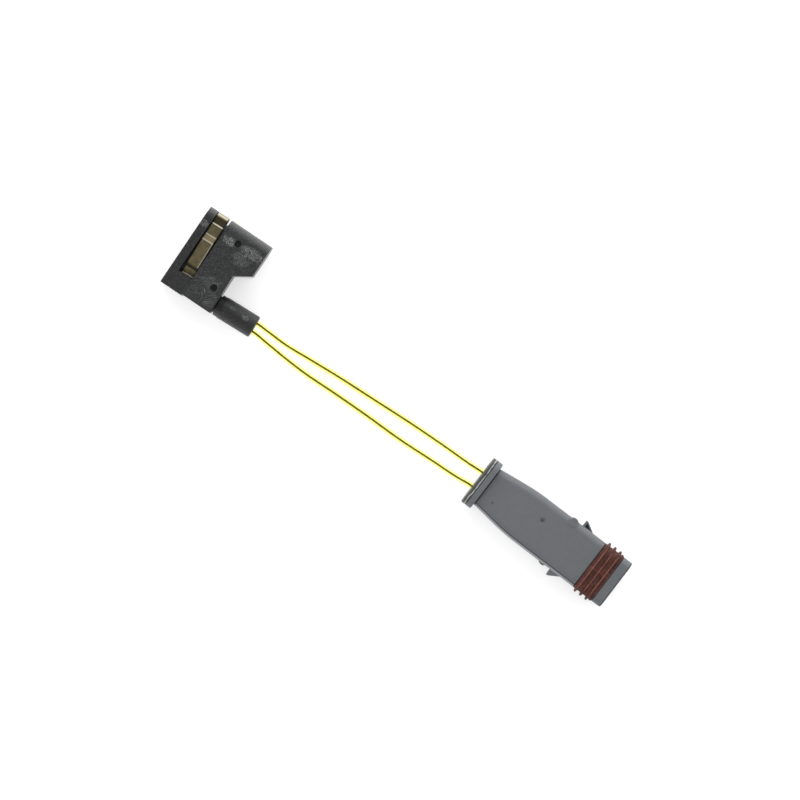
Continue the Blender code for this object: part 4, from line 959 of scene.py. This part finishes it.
def silicone(name, colour, dust_and_highlight, matrix, crest):
    """Matt rubber whose rib crests carry a painted highlight, with a film of fine dust and a faint parting line."""
    made = Finish(name)
    at = made.place(matrix)
    y, z = made.parts(at)[1:]
    cloud = made.noise(at, 0.6, 4.0, 0.7)
    fine = made.noise(at, 3.0, 4.0, 0.7)
    tint = made.mix(made.step(cloud, 0.3, 0.7), shade(colour, 0.6), shade(colour, 1.25))
    # Painted highlight on the rib crests, where the light catches them.
    painted_highlight = made.step(z * z, (crest - 0.3) ** 2, (crest - 0.05) ** 2) * made.step(fine, 0.25, 0.6)
    tint = made.mix(painted_highlight * 0.6, tint, shade(colour, 3.0))
    tint = made.mix(made.step(fine, 0.58, 0.75) * 0.3, tint, dust_and_highlight)
    parting = made.band(y, -0.05, 0.05, 0.05) * made.step(fine, 0.3, 0.55)
    tint = made.mix(parting * 0.6, tint, shade(colour, 3.5))
    return made.surface(
        Base_Color=tint,
        Roughness=0.55 + fine * 0.2,
        Normal=made.bump(parting, 0.03 * MM, made.bump(fine, 0.012 * MM)),
        Specular_IOR_Level=0.35,
    )


def smooth_route(points, start_way, end_way):
    """A smooth curve through the points, read at even steps of LEAD_SPACING.

    Each stretch is a cubic whose slope at a point mixes the directions to its two neighbours by distance.
    """
    steps = np.diff(points, axis=0)
    spans = np.linalg.norm(steps, axis=1)
    ways = steps / spans[:, None]
    before = spans[:-1, None]
    after = spans[1:, None]
    inner = (ways[:-1] * after + ways[1:] * before) / (before + after)
    slopes = np.concatenate([[start_way], inner, [end_way]])
    t = np.linspace(0, 1, 40, endpoint=False)[None, :, None]
    leaving = slopes[:-1, None] * (t**3 - 2 * t**2 + t)
    reaching = slopes[1:, None] * (t**3 - t**2)
    curve = points[:-1, None] * (2 * t**3 - 3 * t**2 + 1) + points[1:, None] * (3 * t**2 - 2 * t**3)
    curve = curve + (leaving + reaching) * spans[:, None, None]
    curve = np.concatenate([curve.reshape(-1, 3), points[-1:]])
    gone = travelled(curve)
    even = np.linspace(0, gone[-1], round(gone[-1] / LEAD_SPACING) + 1)
    return np.stack([np.interp(even, gone, curve[:, i]) for i in range(3)], -1)


def lead_route(side, free_points, root, tip):
    """A lead's centreline: straight from past the tail's root and as far as its tip in the plug, smooth between."""
    scene = bpy.context.scene
    tail = scene.sensor_tail
    leads = scene.sensor_leads
    half_tail = side * leads.tail_pitch / 2
    half_plug = side * leads.plug_pitch / 2
    in_tail = placed(np.array([(-root, half_tail, 0.0), (tail.tail_length, half_tail, 0.0)]), tail_frame(tail))
    in_plug = placed(np.array([(0.0, half_plug, 0.0), (tip, half_plug, 0.0)]), plug_frame(scene.sensor_plug))
    points = np.concatenate([in_tail[1:], free_points, in_plug[:1]])
    free = smooth_route(points, unit(in_tail[1] - in_tail[0]), unit(in_plug[1] - in_plug[0]))
    lead_in = np.linspace(in_tail[0], in_tail[1], 12, endpoint=False)
    lead_out = np.linspace(in_plug[0], in_plug[1], 12)[1:]
    return np.concatenate([lead_in, free, lead_out])


class WEARSENSOR_OT_stage(Operator):
    """White floor, soft light from all round and from two large lamps, and the camera straight above"""

    bl_idname = "wear_sensor.stage"
    bl_label = "Stage and camera"

    def execute(self, context):
        settings = context.scene.sensor_studio
        self.make_floor(settings)
        self.make_sky(context.scene, settings)
        for name, (position, power) in LAMPS.items():
            self.make_lamp(name, position, settings.lamp_size, power)
        self.make_camera(context.scene, settings)
        context.scene.view_settings.view_transform = "Standard"
        return {"FINISHED"}

    def make_floor(self, settings):
        half = settings.floor_size / 2
        mesh = bpy.data.meshes.new("floor")
        corners = [(-half, -half, 0.0), (half, -half, 0.0), (half, half, 0.0), (-half, half, 0.0)]
        mesh.from_pydata(corners, [], [(0, 1, 2, 3)])
        floor = bpy.data.objects.new("floor", mesh)
        bpy.context.scene.collection.objects.link(floor)
        finish = Finish("floor")
        looked_at = finish.outputs("LightPath", {}, "Is Camera Ray", "Is Glossy Ray", "Is Transmission Ray")
        white = settings.floor_white
        lift = (looked_at[0] + looked_at[1] + looked_at[2]) * settings.floor_lift
        glow = finish.node("CombineColor", {}, {0: lift, 1: lift, 2: lift})
        finish.surface(
            Base_Color=(white, white, white, 1.0),
            Roughness=0.9,
            Specular_IOR_Level=0.0,
            Emission_Color=glow,
            Emission_Strength=1.0,
        )
        mesh.materials.append(finish.material)

    def make_sky(self, scene, settings):
        """A sky that is bright at the horizon, most on one side, and dim overhead. Looked at, it is plain white."""
        world = bpy.data.worlds.new("sky")
        sky = Nodes(world)
        x, y, z = sky.outputs("SeparateXYZ", {0: sky.node("TexCoord", {}, {}, "Generated")}, "X", "Y", "Z")
        height = sky.step(z, -0.05, 0.0) * sky.math_of("MAXIMUM", z, 0.0) ** 0.5
        low = settings.horizon * (1 + y * settings.window - x * settings.dusk)
        light = low + height * (settings.zenith - low)
        camera, through = sky.outputs("LightPath", {}, "Is Camera Ray", "Is Transmission Ray")
        seen = sky.math_of("MAXIMUM", camera, through)
        sky.fill(sky.tree.nodes["Background"], {"Color": (1.0, 1.0, 1.0, 1.0), "Strength": light + seen * (1 - light)})
        scene.world = world

    def make_lamp(self, name, position, size, power):
        data = bpy.data.lights.new(name, "AREA")
        data.shape = "DISK"
        data.size = size
        data.energy = power
        lamp = bpy.data.objects.new(name, data)
        bpy.context.scene.collection.objects.link(lamp)
        lamp.location = position
        target = (CAD_BOX[0] + CAD_BOX[1]) / 2
        lamp.rotation_euler = (target - lamp.location).to_track_quat("-Z", "Y").to_euler()

    def make_camera(self, scene, settings):
        data = bpy.data.cameras.new("camera")
        camera = bpy.data.objects.new("camera", data)
        scene.collection.objects.link(camera)
        camera.location = (*VIEW_POINT, settings.view_height)
        camera.rotation_euler = (0.0, 0.0, settings.view_turn)
        data.lens = data.sensor_width * (settings.view_height - settings.edge_height) / settings.view_width
        data.clip_start = 0.01
        scene.camera = camera


class WEARSENSOR_OT_leads(Operator):
    """The two clear jackets and the twisted strands inside them"""

    bl_idname = "wear_sensor.leads"
    bl_label = "Leads"

    def execute(self, context):
        sizes = context.scene.sensor_leads
        colours = context.scene.sensor_colours
        jacket_finish = clear_jacket(colours)
        strand_finish = drawn_wire("dark_strands", colours.strands, 0.15, 0.45)
        for number, side, points in ((1, 1, UPPER_LEAD_POINTS), (2, -1, LOWER_LEAD_POINTS)):
            strands = self.make_strands(number, side, points, sizes)
            dress(strands, strand_finish, "dark_strands", f"lead_conductor_{number}")
            jacket, path = self.make_jacket(number, side, points, sizes)
            dress(jacket, jacket_finish, "yellow_jacket", f"lead_insulation_{number}")
        return {"FINISHED"}

    def make_jacket(self, number, side, points, sizes):
        """A tube whose skin runs out along its outer side and back along its bore."""
        path = lead_route(side, points, sizes.jacket_root, sizes.jacket_tip)
        across, up = directions(path)
        outer = carried(circle(sizes.diameter / 2, JACKET_STEPS), path, across, up)
        inner = carried(circle(sizes.diameter / 2 - sizes.wall, JACKET_STEPS), path, across, up)
        made = solid(f"jacket_{number}", np.eye(4), skin(np.concatenate([outer, inner[::-1]]), ring=True))
        made.data.shade_smooth()
        return made, path

    def make_strands(self, number, side, points, sizes):
        """Seven equal wires, three across: one in the middle and six that wind round it, a turn in each lay."""
        path = lead_route(side, points, sizes.core_root, sizes.core_tip)
        across, up = directions(path)
        turns = travelled(path) / sizes.lay
        wire = circle(sizes.core / 6, WIRE_STEPS)
        skins = [skin(carried(wire, path, across, up))]
        for i in range(6):
            angle = 2 * np.pi * (turns + i / 6)[:, None]
            winding = path + (np.cos(angle) * across + np.sin(angle) * up) * sizes.core / 3
            skins.append(skin(carried(wire, winding, across, up)))
        made = solid(f"strands_{number}", np.eye(4), *skins)
        made.data.shade_smooth()
        return made


class WEARSENSOR_OT_head(Operator):
    """The moulded head: strip, neck between its two grooves, and block with a slanted shoulder"""

    bl_idname = "wear_sensor.head"
    bl_label = "Contact head"

    def execute(self, context):
        sizes = context.scene.sensor_head
        colours = context.scene.sensor_colours
        block_x = sizes.strip_width + sizes.groove_width
        head = solid("contact_head", head_frame(), self.blank(sizes))
        cuts = [self.waist(sizes, block_x), self.groove(sizes, block_x), *self.foot_cuts(sizes, block_x)]
        cutters = [solid("cutter", head_frame(), cut) for cut in (*cuts, *self.pin_marks(sizes))]
        combine(head, cutters, "DIFFERENCE")
        soften(head, sizes.edge)
        finish = black_nylon(
            "black_nylon", colours, head_frame(), HEAD_THICKNESS / MM, HEAD_SCUFFS, HEAD_SCRATCHES,
            tone=1.0, painted_shade_x=block_x / MM, painted_end_highlight=0.16,
        )
        dress(head, finish, "black_nylon", "head_body")
        return {"FINISHED"}

    def blank(self, sizes):
        """The side view, whose end has two quarter circles, carried across the whole width."""
        radius = sizes.end_radius
        centre = HEAD_HEIGHT - radius
        side = [
            np.array([(0.0, HEAD_THICKNESS), (0.0, 0.0)]),
            arc((centre, radius), radius, -90, 0),
            arc((centre, HEAD_THICKNESS - radius), radius, 0, 90),
        ]
        return extruded(np.concatenate(side), 0.0, HEAD_WIDTH, "YZ")

    def waist(self, sizes, block_x):
        """What is missing beside the tail, up to the slanted shoulder."""
        slope = (sizes.shoulder_height - sizes.waist_height) / (HEAD_WIDTH - block_x - sizes.waist_width)
        flat = np.array([
            (block_x + sizes.foot_width, -PAST),
            (HEAD_WIDTH + PAST, -PAST),
            (HEAD_WIDTH + PAST, sizes.shoulder_height + slope * PAST),
            (block_x + sizes.waist_width, sizes.waist_height),
        ])
        return extruded(flat, -PAST, HEAD_THICKNESS + PAST, "XY")

    def groove(self, sizes, block_x):
        """Both grooves at once: they meet round the neck's rounded end, and each has a pocket for a toe."""
        top = (HEAD_THICKNESS + sizes.neck_thickness) / 2
        low = (HEAD_THICKNESS - sizes.neck_thickness) / 2
        end = HEAD_HEIGHT - sizes.neck_drop - sizes.neck_radius
        pocket = sizes.groove_floor + sizes.pocket_length
        radius = sizes.neck_radius
        side = [
            [(sizes.groove_floor, HEAD_THICKNESS + PAST), (sizes.groove_floor, top - sizes.pocket_depth)],
            [(pocket, top - sizes.pocket_depth), (pocket, top)],
            arc((end, top - radius), radius, 90, 0),
            arc((end, low + radius), radius, 0, -90),
            [(pocket, low), (pocket, low + sizes.pocket_depth)],
            [(sizes.groove_floor, low + sizes.pocket_depth), (sizes.groove_floor, -PAST)],
            [(HEAD_HEIGHT + PAST, -PAST), (HEAD_HEIGHT + PAST, HEAD_THICKNESS + PAST)],
        ]
        return extruded(np.concatenate(side), sizes.strip_width, block_x, "YZ")

    def foot_cuts(self, sizes, block_x):
        """The block's lifted foot and the two fine notches beside the neck's foot."""
        half = sizes.notch_width / 2
        top = HEAD_THICKNESS + PAST
        cuts = [block((block_x + half, -PAST, -PAST), (HEAD_WIDTH + PAST, sizes.foot_lift, top))]
        for x in (sizes.strip_width, block_x):
            cuts.append(block((x, -PAST, -PAST), (x + sizes.notch_width, sizes.notch_depth, top)))
        return cuts

    def pin_marks(self, sizes):
        ring = circle(sizes.pin_diameter / 2)
        top = HEAD_THICKNESS
        return [extruded(ring + at, top - sizes.pin_depth, top + PAST, "XY") for at in np.array(PIN_MARKS) * MM]


class WEARSENSOR_OT_clip(Operator):
    """The bent bronze ribbon round the neck"""

    bl_idname = "wear_sensor.clip"
    bl_label = "Spring clip"

    def execute(self, context):
        head = context.scene.sensor_head
        sizes = context.scene.sensor_clip
        path = self.ribbon_path(head, sizes)
        along = unit(np.gradient(path, axis=0))
        across = np.broadcast_to((1.0, 0.0, 0.0), path.shape)
        section = outline([sizes.width], [sizes.thickness], sizes.edge)[0]
        ribbon = carried(section, path, across, np.cross(along, across))
        clip = solid("clip_ribbon", clip_frame(head, sizes), skin(ribbon))
        soften(clip, 0.0)
        dress(clip, bronze(context.scene.sensor_colours, clip_frame(head, sizes)), "bronze", "spring_clip")
        return {"FINISHED"}

    def ribbon_path(self, head, sizes):
        """The centreline in the YZ plane: the upper leaf from its toe, a bend past the neck, the same leaf below."""
        half = sizes.thickness / 2
        seat = head.neck_thickness / 2 + half + sizes.play
        pad = HEAD_THICKNESS / 2 - sizes.pad_sink - half
        toe_y = head.groove_floor + sizes.play + half
        seat_y = HEAD_HEIGHT - head.neck_drop - sizes.seat_drop
        ramp_y = seat_y - sizes.ramp_length
        step_y = ramp_y - sizes.step_length
        pad_y = step_y - sizes.pad_length
        leaf = [
            (0.0, toe_y, head.neck_thickness / 2 - sizes.toe_depth),
            (0.0, toe_y, seat),
            (0.0, pad_y - sizes.heel_length, seat + sizes.heel_rise * (pad - seat)),
            (0.0, pad_y, pad),
            (0.0, step_y, pad),
            (0.0, ramp_y, seat + sizes.ramp_rise * (pad - seat)),
            (0.0, seat_y, seat),
        ]
        bend_y = HEAD_HEIGHT - half
        start = (0.0, bend_y - sizes.bend_radius, seat)
        upper = rounded_path([*leaf, start], sizes.corner_radius)
        corners = [start, (0.0, bend_y, seat), (0.0, bend_y, -seat), (0.0, bend_y - sizes.bend_radius, -seat)]
        bend = rounded_path(corners, sizes.bend_radius, 14)
        path = np.concatenate([upper[:-1], bend, (upper * (1, 1, -1))[::-1][1:]])
        apart = np.linalg.norm(np.diff(path, axis=0), axis=1) > 0.001 * MM
        return path[np.concatenate([[True], apart])]


class WEARSENSOR_OT_tail(Operator):
    """The round collar that the two leads come out of"""

    bl_idname = "wear_sensor.tail"
    bl_label = "Tail sleeve"

    def execute(self, context):
        sizes = context.scene.sensor_tail
        leads = context.scene.sensor_leads
        radius = sizes.diameter / 2
        band = sizes.band_diameter / 2
        spigot = sizes.spigot_diameter / 2
        band_end = sizes.gap + sizes.band_length
        end = arc((sizes.tail_length - sizes.edge, radius - sizes.edge), sizes.edge, 90, 0, 8)
        profile = [
            (-sizes.spigot_length, spigot),
            (sizes.gap, spigot),
            (sizes.gap, band - sizes.chamfer),
            (sizes.gap + sizes.chamfer, band),
            (band_end - sizes.step_length, band),
            (band_end, radius - sizes.shoulder_depth),
            (band_end + sizes.shoulder_length, radius),
            *end.tolist(),
        ]
        tail = solid("tail_collar", tail_frame(sizes), turned(profile))
        bores = []
        for y in (leads.tail_pitch / 2, -leads.tail_pitch / 2):
            cut = bar(y, leads.diameter / 2 + sizes.bore_play, -sizes.spigot_length - PAST, sizes.tail_length + PAST)
            bores.append(solid("bore", tail_frame(sizes), cut))
        combine(tail, bores, "DIFFERENCE")
        soften(tail, FINE_EDGE, math.radians(40))
        colours = context.scene.sensor_colours
        worn_from = radius / MM - 0.15
        finish = black_nylon(
            "black_nylon_tail", colours, tail_frame(sizes), worn_from, TAIL_SCUFFS, (),
            tone=0.55, painted_shade_x=-1.0, painted_end_highlight=0.0,
        )
        dress(tail, finish, "black_nylon", "tail_sleeve")
        return {"FINISHED"}


class WEARSENSOR_OT_housing(Operator):
    """The plug's grey housing: flange, swelling body, two bosses, two latch barbs and the tongue in front"""

    bl_idname = "wear_sensor.housing"
    bl_label = "Plug housing"

    def execute(self, context):
        sizes = context.scene.sensor_plug
        colours = context.scene.sensor_colours
        place = plug_frame(sizes)
        flange_x, body_x, *_, front = plug_stations(sizes)
        end_x = body_x + sizes.body_length
        core_end = front - sizes.nose_floor - sizes.gap
        housing = solid("plug_housing", place, self.body(sizes, body_x, end_x))
        flange = solid("flange", place, rounded_slab(
            flange_x, body_x, sizes.flange_width, sizes.flange_height, sizes.flange_corner,
            low_edge=0.1 * MM, high_edge=0.2 * MM,
        ))
        core = solid("core", place, lofted(
            (end_x - PAST, core_end), sizes.core_width, sizes.core_height, sizes.core_corner
        ))
        combine(housing, [flange, core], "UNION")
        combine(housing, self.hollows(context.scene, place, flange_x, core_end), "DIFFERENCE")
        bosses = [solid("boss", place, self.boss(sizes, end_x, side)) for side in (1, -1)]
        merge(housing, [*bosses, self.barb(sizes, place, end_x, 1), self.barb(sizes, place, end_x, -1)])
        soften(housing, FINE_EDGE, math.radians(45))
        dress(housing, housing_nylon(sizes, colours, place), "grey_nylon", "connector_housing")
        return {"FINISHED"}

    def body(self, sizes, body_x, end_x):
        """Rounded rectangles that swell from rear to front, with an undercut beside the flange and a parting crease.

        They stand closest where the undercut is.
        The crease takes a narrow bell from the radius of the lower edge's upper corner, at the angle whose cosine
        leaves the inset of the crease.
        """
        flare_end = body_x + sizes.flare_length
        rim_x, rim_inset = rim(end_x, sizes.body_edge, 1)
        x = np.concatenate([
            [body_x - sizes.flange_thickness / 2],
            np.linspace(body_x, body_x + 0.3 * MM, 7),
            np.linspace(body_x + 0.5 * MM, flare_end, 30),
            np.linspace(flare_end, end_x - sizes.body_edge, 18)[1:-1],
            rim_x,
        ])
        under = sizes.undercut * (1 - np.clip((x - body_x - sizes.undercut_width) / sizes.undercut_width, 0, 1))
        inset = under + np.concatenate([np.zeros(len(x) - len(rim_x)), rim_inset])
        share = flare_share(np.clip((x - body_x) / sizes.flare_length, 0, 1))
        width = sizes.rear_width + (sizes.body_width - sizes.rear_width) * share - 2 * inset
        height = sizes.rear_height + (sizes.body_height - sizes.rear_height) * share - 2 * inset
        corner = sizes.body_corner - inset
        rings = outline(width, height, corner, 36)
        arm = rings - np.stack([corner - width / 2, height / 2 - corner], -1)[:, None]
        angle = np.degrees(np.arctan2(arm[..., 1], -arm[..., 0]))
        on_arc = np.linalg.norm(arm, axis=-1) < 1.01 * corner[:, None]
        middle = np.degrees(np.arccos(1 - sizes.crease_inset / sizes.body_corner))
        spread = np.degrees(sizes.crease_width / sizes.body_corner)
        depth = sizes.crease_depth * np.exp(-(((angle - middle) / spread) ** 2)) * on_arc * (angle > 0)
        rings -= unit(arm) * depth[..., None]
        return skin(along_x(x, rings))

    def boss(self, sizes, end_x, side):
        """A round boss with a rounded rim, on one long edge."""
        top = sizes.body_height / 2 + sizes.boss_rise
        away = sizes.body_width / 2 + sizes.boss_side - sizes.boss_radius
        centre = np.array([end_x - sizes.boss_back, side * away])
        edge = arc((top - sizes.boss_rim, sizes.boss_radius - sizes.boss_rim), sizes.boss_rim, 90, 0, 6)
        profile = np.concatenate([[(top - sizes.boss_height, sizes.boss_radius)], edge])
        flat = centre + profile[:, 1, None, None] * circle(1.0, 40)
        up = np.broadcast_to(side * profile[:, 0, None, None], (*flat.shape[:2], 1))
        return skin(np.concatenate([flat, up], -1))

    def barb(self, sizes, place, end_x, side):
        """A latch barb, steep towards the leads and sloping towards the nose, with a pocket in one face."""
        root = np.array([end_x - sizes.barb_back, sizes.body_width / 2])
        half = sizes.barb_thickness / 2
        barb = solid("barb", place, extruded((root + BARB_OUTLINE) * (1, side), -half, half, "XY"))
        low, high = sorted((side * sizes.barb_wall, side * (half + PAST)))
        pocket = solid("barb_pocket", place, extruded((root + BARB_POCKET) * (1, side), low, high, "XY"))
        combine(barb, [pocket], "DIFFERENCE")
        return barb

    def hollows(self, scene, place, flange_x, core_end):
        """The gate's dimple on top, and behind it the bores and cavities that hold seals and terminals."""
        sizes = scene.sensor_plug
        top = sizes.body_height / 2
        dimple = circle(sizes.gate_diameter / 2) + np.array(GATE) * MM
        cuts = [extruded(dimple, top - sizes.gate_depth, top + PAST, "XY")]
        wide = sizes.cavity_width / 2
        high = sizes.cavity_height / 2
        for side in (1, -1):
            y = side * scene.sensor_leads.plug_pitch / 2
            cuts.append(bar(y, sizes.seal_bore / 2, flange_x - PAST, flange_x + sizes.seal_bore_length))
            cuts.append(block((flange_x + sizes.cavity_start, y - wide, -high), (core_end + PAST, y + wide, high)))
        return [solid("hollow", place, cut) for cut in cuts]


class WEARSENSOR_OT_cap(Operator):
    """The thin plate at the back of the plug, with a hole for each lead"""

    bl_idname = "wear_sensor.cap"
    bl_label = "Rear cap"

    def execute(self, context):
        sizes = context.scene.sensor_plug
        leads = context.scene.sensor_leads
        place = plug_frame(sizes)
        plate = rounded_slab(
            0.0, sizes.cap_thickness, sizes.flange_width, sizes.flange_height, sizes.flange_corner,
            low_edge=0.2 * MM, high_edge=0.07 * MM,
        )
        step = rounded_slab(
            sizes.cap_thickness / 2, sizes.cap_thickness + sizes.gap * 0.9, sizes.flange_width - 2 * sizes.cap_step,
            sizes.flange_height - 2 * sizes.cap_step, sizes.flange_corner - sizes.cap_step,
            low_edge=0.02 * MM, high_edge=0.02 * MM,
        )
        cap = solid("cap_plate", place, plate)
        spigots = [solid("step", place, step)]
        holes = []
        for y in (leads.plug_pitch / 2, -leads.plug_pitch / 2):
            spigot = bar(y, sizes.cap_spigot / 2, sizes.cap_spigot_root, sizes.cap_spigot_tip)
            spigots.append(solid("spigot", place, spigot))
            holes.append(solid("hole", place, bar(y, sizes.cap_hole / 2, -PAST, sizes.cap_spigot_tip + PAST)))
        combine(cap, spigots, "UNION")
        combine(cap, holes, "DIFFERENCE")
        soften(cap, FINE_EDGE, math.radians(40))
        colours = context.scene.sensor_colours
        dress(cap, cap_nylon(colours, place), "grey_cap", "rear_cap")
        return {"FINISHED"}


class WEARSENSOR_OT_front_seal(Operator):
    """The ribbed ring seal in front of the housing"""

    bl_idname = "wear_sensor.front_seal"
    bl_label = "Front seal"

    def execute(self, context):
        sizes = context.scene.sensor_plug
        place = plug_frame(sizes)
        start = plug_stations(sizes)[2]
        x = np.linspace(0.0, sizes.seal_length, 180)
        out = self.ribs(sizes, x)
        outer = outline(sizes.body_width + 2 * out, sizes.body_height + 2 * out, sizes.body_corner + out)
        play = sizes.core_play
        width = np.full(2, sizes.core_width + 2 * play)
        inner = outline(width, sizes.core_height + 2 * play, sizes.core_corner + play)
        along = np.concatenate([x, [sizes.seal_length, 0.0]]) + start
        seal = solid("ribbed_seal", place, skin(along_x(along, np.concatenate([outer, inner])), ring=True))
        seal.data.shade_smooth()
        seal.data.set_sharp_from_angle(angle=math.radians(50))
        colours = context.scene.sensor_colours
        crest = (sizes.body_height / 2 + sizes.rib_height) / MM
        finish = silicone("red_silicone", colours.seal, colours.dust_and_highlight, place, crest)
        dress(seal, finish, "red_silicone", "front_seal")
        return {"FINISHED"}

    def ribs(self, sizes, x):
        """How far the seal stands out: a narrow bell for each of its ribs and a low one for the bead at its end."""
        bead = sizes.bead_height
        out = bead * np.exp(-(((x - sizes.seal_length + bead) / sizes.bead_width) ** 4))
        for i in range(3):
            away = np.abs(x - sizes.rib_start - i * sizes.rib_pitch)
            out = np.maximum(out, sizes.rib_height * np.exp(-((away / sizes.rib_width) ** 2.6)))
        return out


class WEARSENSOR_OT_nose(Operator):
    """The front ring that holds the seal, with a flared mouth for each terminal"""

    bl_idname = "wear_sensor.nose"
    bl_label = "Nose cap"

    def execute(self, context):
        sizes = context.scene.sensor_plug
        place = plug_frame(sizes)
        start, end = plug_stations(sizes)[3:]
        nose = solid("nose_ring", place, rounded_slab(
            start, end, sizes.body_width, sizes.body_height, sizes.body_corner, low_edge=0.06 * MM, high_edge=0.3 * MM
        ))
        play = sizes.core_play
        pocket = lofted(
            (start - PAST, end - sizes.nose_floor), sizes.core_width + 2 * play, sizes.core_height + 2 * play,
            sizes.core_corner + play,
        )
        cuts = [solid("pocket", place, pocket)]
        flare = PAST + sizes.mouth_flare
        x = (end - sizes.nose_floor - PAST, end - sizes.mouth_flare, end + PAST)
        size = sizes.mouth + np.array([0.0, 0.0, 2 * flare])
        corner = sizes.mouth_corner + np.array([0.0, 0.0, flare])
        for side in (1, -1):
            mouth = place @ shift(0.0, side * context.scene.sensor_leads.plug_pitch / 2, 0.0)
            cuts.append(solid("mouth", mouth, lofted(x, size, size, corner)))
        combine(nose, cuts, "DIFFERENCE")
        soften(nose, FINE_EDGE, math.radians(40))
        colours = context.scene.sensor_colours
        finish = nose_nylon(sizes, colours, place)
        dress(nose, finish, "grey_nylon", "nose_cap")
        return {"FINISHED"}


class WEARSENSOR_OT_inner_pieces(Operator):
    """Finishes for the loop, splices, wire seals and terminals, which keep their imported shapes"""

    bl_idname = "wear_sensor.inner_pieces"
    bl_label = "Inner pieces"

    def execute(self, context):
        colours = context.scene.sensor_colours
        copper = drawn_wire("copper", colours.copper, 1.0, 0.28)
        brass = drawn_wire("tinned_brass", colours.brass, 1.0, 0.28)
        steel = drawn_wire("spring_steel", colours.steel, 1.0, 0.25)
        place = plug_frame(context.scene.sensor_plug)
        rubber = silicone("orange_silicone", colours.wire_seal, colours.dust_and_highlight, place, WIRE_SEAL_CREST)
        dress_node("sensing_loop", copper)
        for number in (1, 2):
            dress_node(f"splice_sleeve_{number}", copper)
            dress_node(f"wire_seal_{number}", rubber)
            dress_node(f"terminal_{number}", brass)
            dress_node(f"terminal_spring_{number}", steel)
        return {"FINISHED"}


SETTINGS = {
    "sensor_studio": StudioSettings,
    "sensor_head": HeadSizes,
    "sensor_clip": ClipSizes,
    "sensor_tail": TailSizes,
    "sensor_leads": LeadSizes,
    "sensor_plug": PlugSizes,
    "sensor_colours": SensorColours,
}

STEPS = (
    WEARSENSOR_OT_stage,
    WEARSENSOR_OT_leads,
    WEARSENSOR_OT_head,
    WEARSENSOR_OT_clip,
    WEARSENSOR_OT_tail,
    WEARSENSOR_OT_cap,
    WEARSENSOR_OT_housing,
    WEARSENSOR_OT_front_seal,
    WEARSENSOR_OT_nose,
    WEARSENSOR_OT_inner_pieces,
)


class WEARSENSOR_PT_panel(Panel):
    """Lists the steps and the sizes and colours that they read"""

    bl_idname = "WEARSENSOR_PT_panel"
    bl_label = "Brake pad wear sensor"
    bl_space_type = "VIEW_3D"
    bl_region_type = "UI"
    bl_category = "Wear sensor"

    def draw(self, context):
        column = self.layout.column(align=True)
        for step in STEPS:
            column.operator(step.bl_idname)
        for name, group in SETTINGS.items():
            box = self.layout.box()
            box.label(text=group.__name__)
            for prop in group.__annotations__:
                box.prop(getattr(context.scene, name), prop)


def register():
    for group in SETTINGS.values():
        bpy.utils.register_class(group)
    for step in (*STEPS, WEARSENSOR_PT_panel):
        bpy.utils.register_class(step)
    for name, group in SETTINGS.items():
        setattr(bpy.types.Scene, name, PointerProperty(type=group))


def unregister():
    for name in SETTINGS:
        delattr(bpy.types.Scene, name)
    for step in (WEARSENSOR_PT_panel, *reversed(STEPS)):
        bpy.utils.unregister_class(step)
    for group in SETTINGS.values():
        bpy.utils.unregister_class(group)


def main():
    register()
    bpy.ops.wear_sensor.stage()
    bpy.ops.wear_sensor.leads()
    bpy.ops.wear_sensor.head()
    bpy.ops.wear_sensor.clip()
    bpy.ops.wear_sensor.tail()
    bpy.ops.wear_sensor.cap()
    bpy.ops.wear_sensor.housing()
    bpy.ops.wear_sensor.front_seal()
    bpy.ops.wear_sensor.nose()
    bpy.ops.wear_sensor.inner_pieces()


if __name__ == "__main__":
    main()
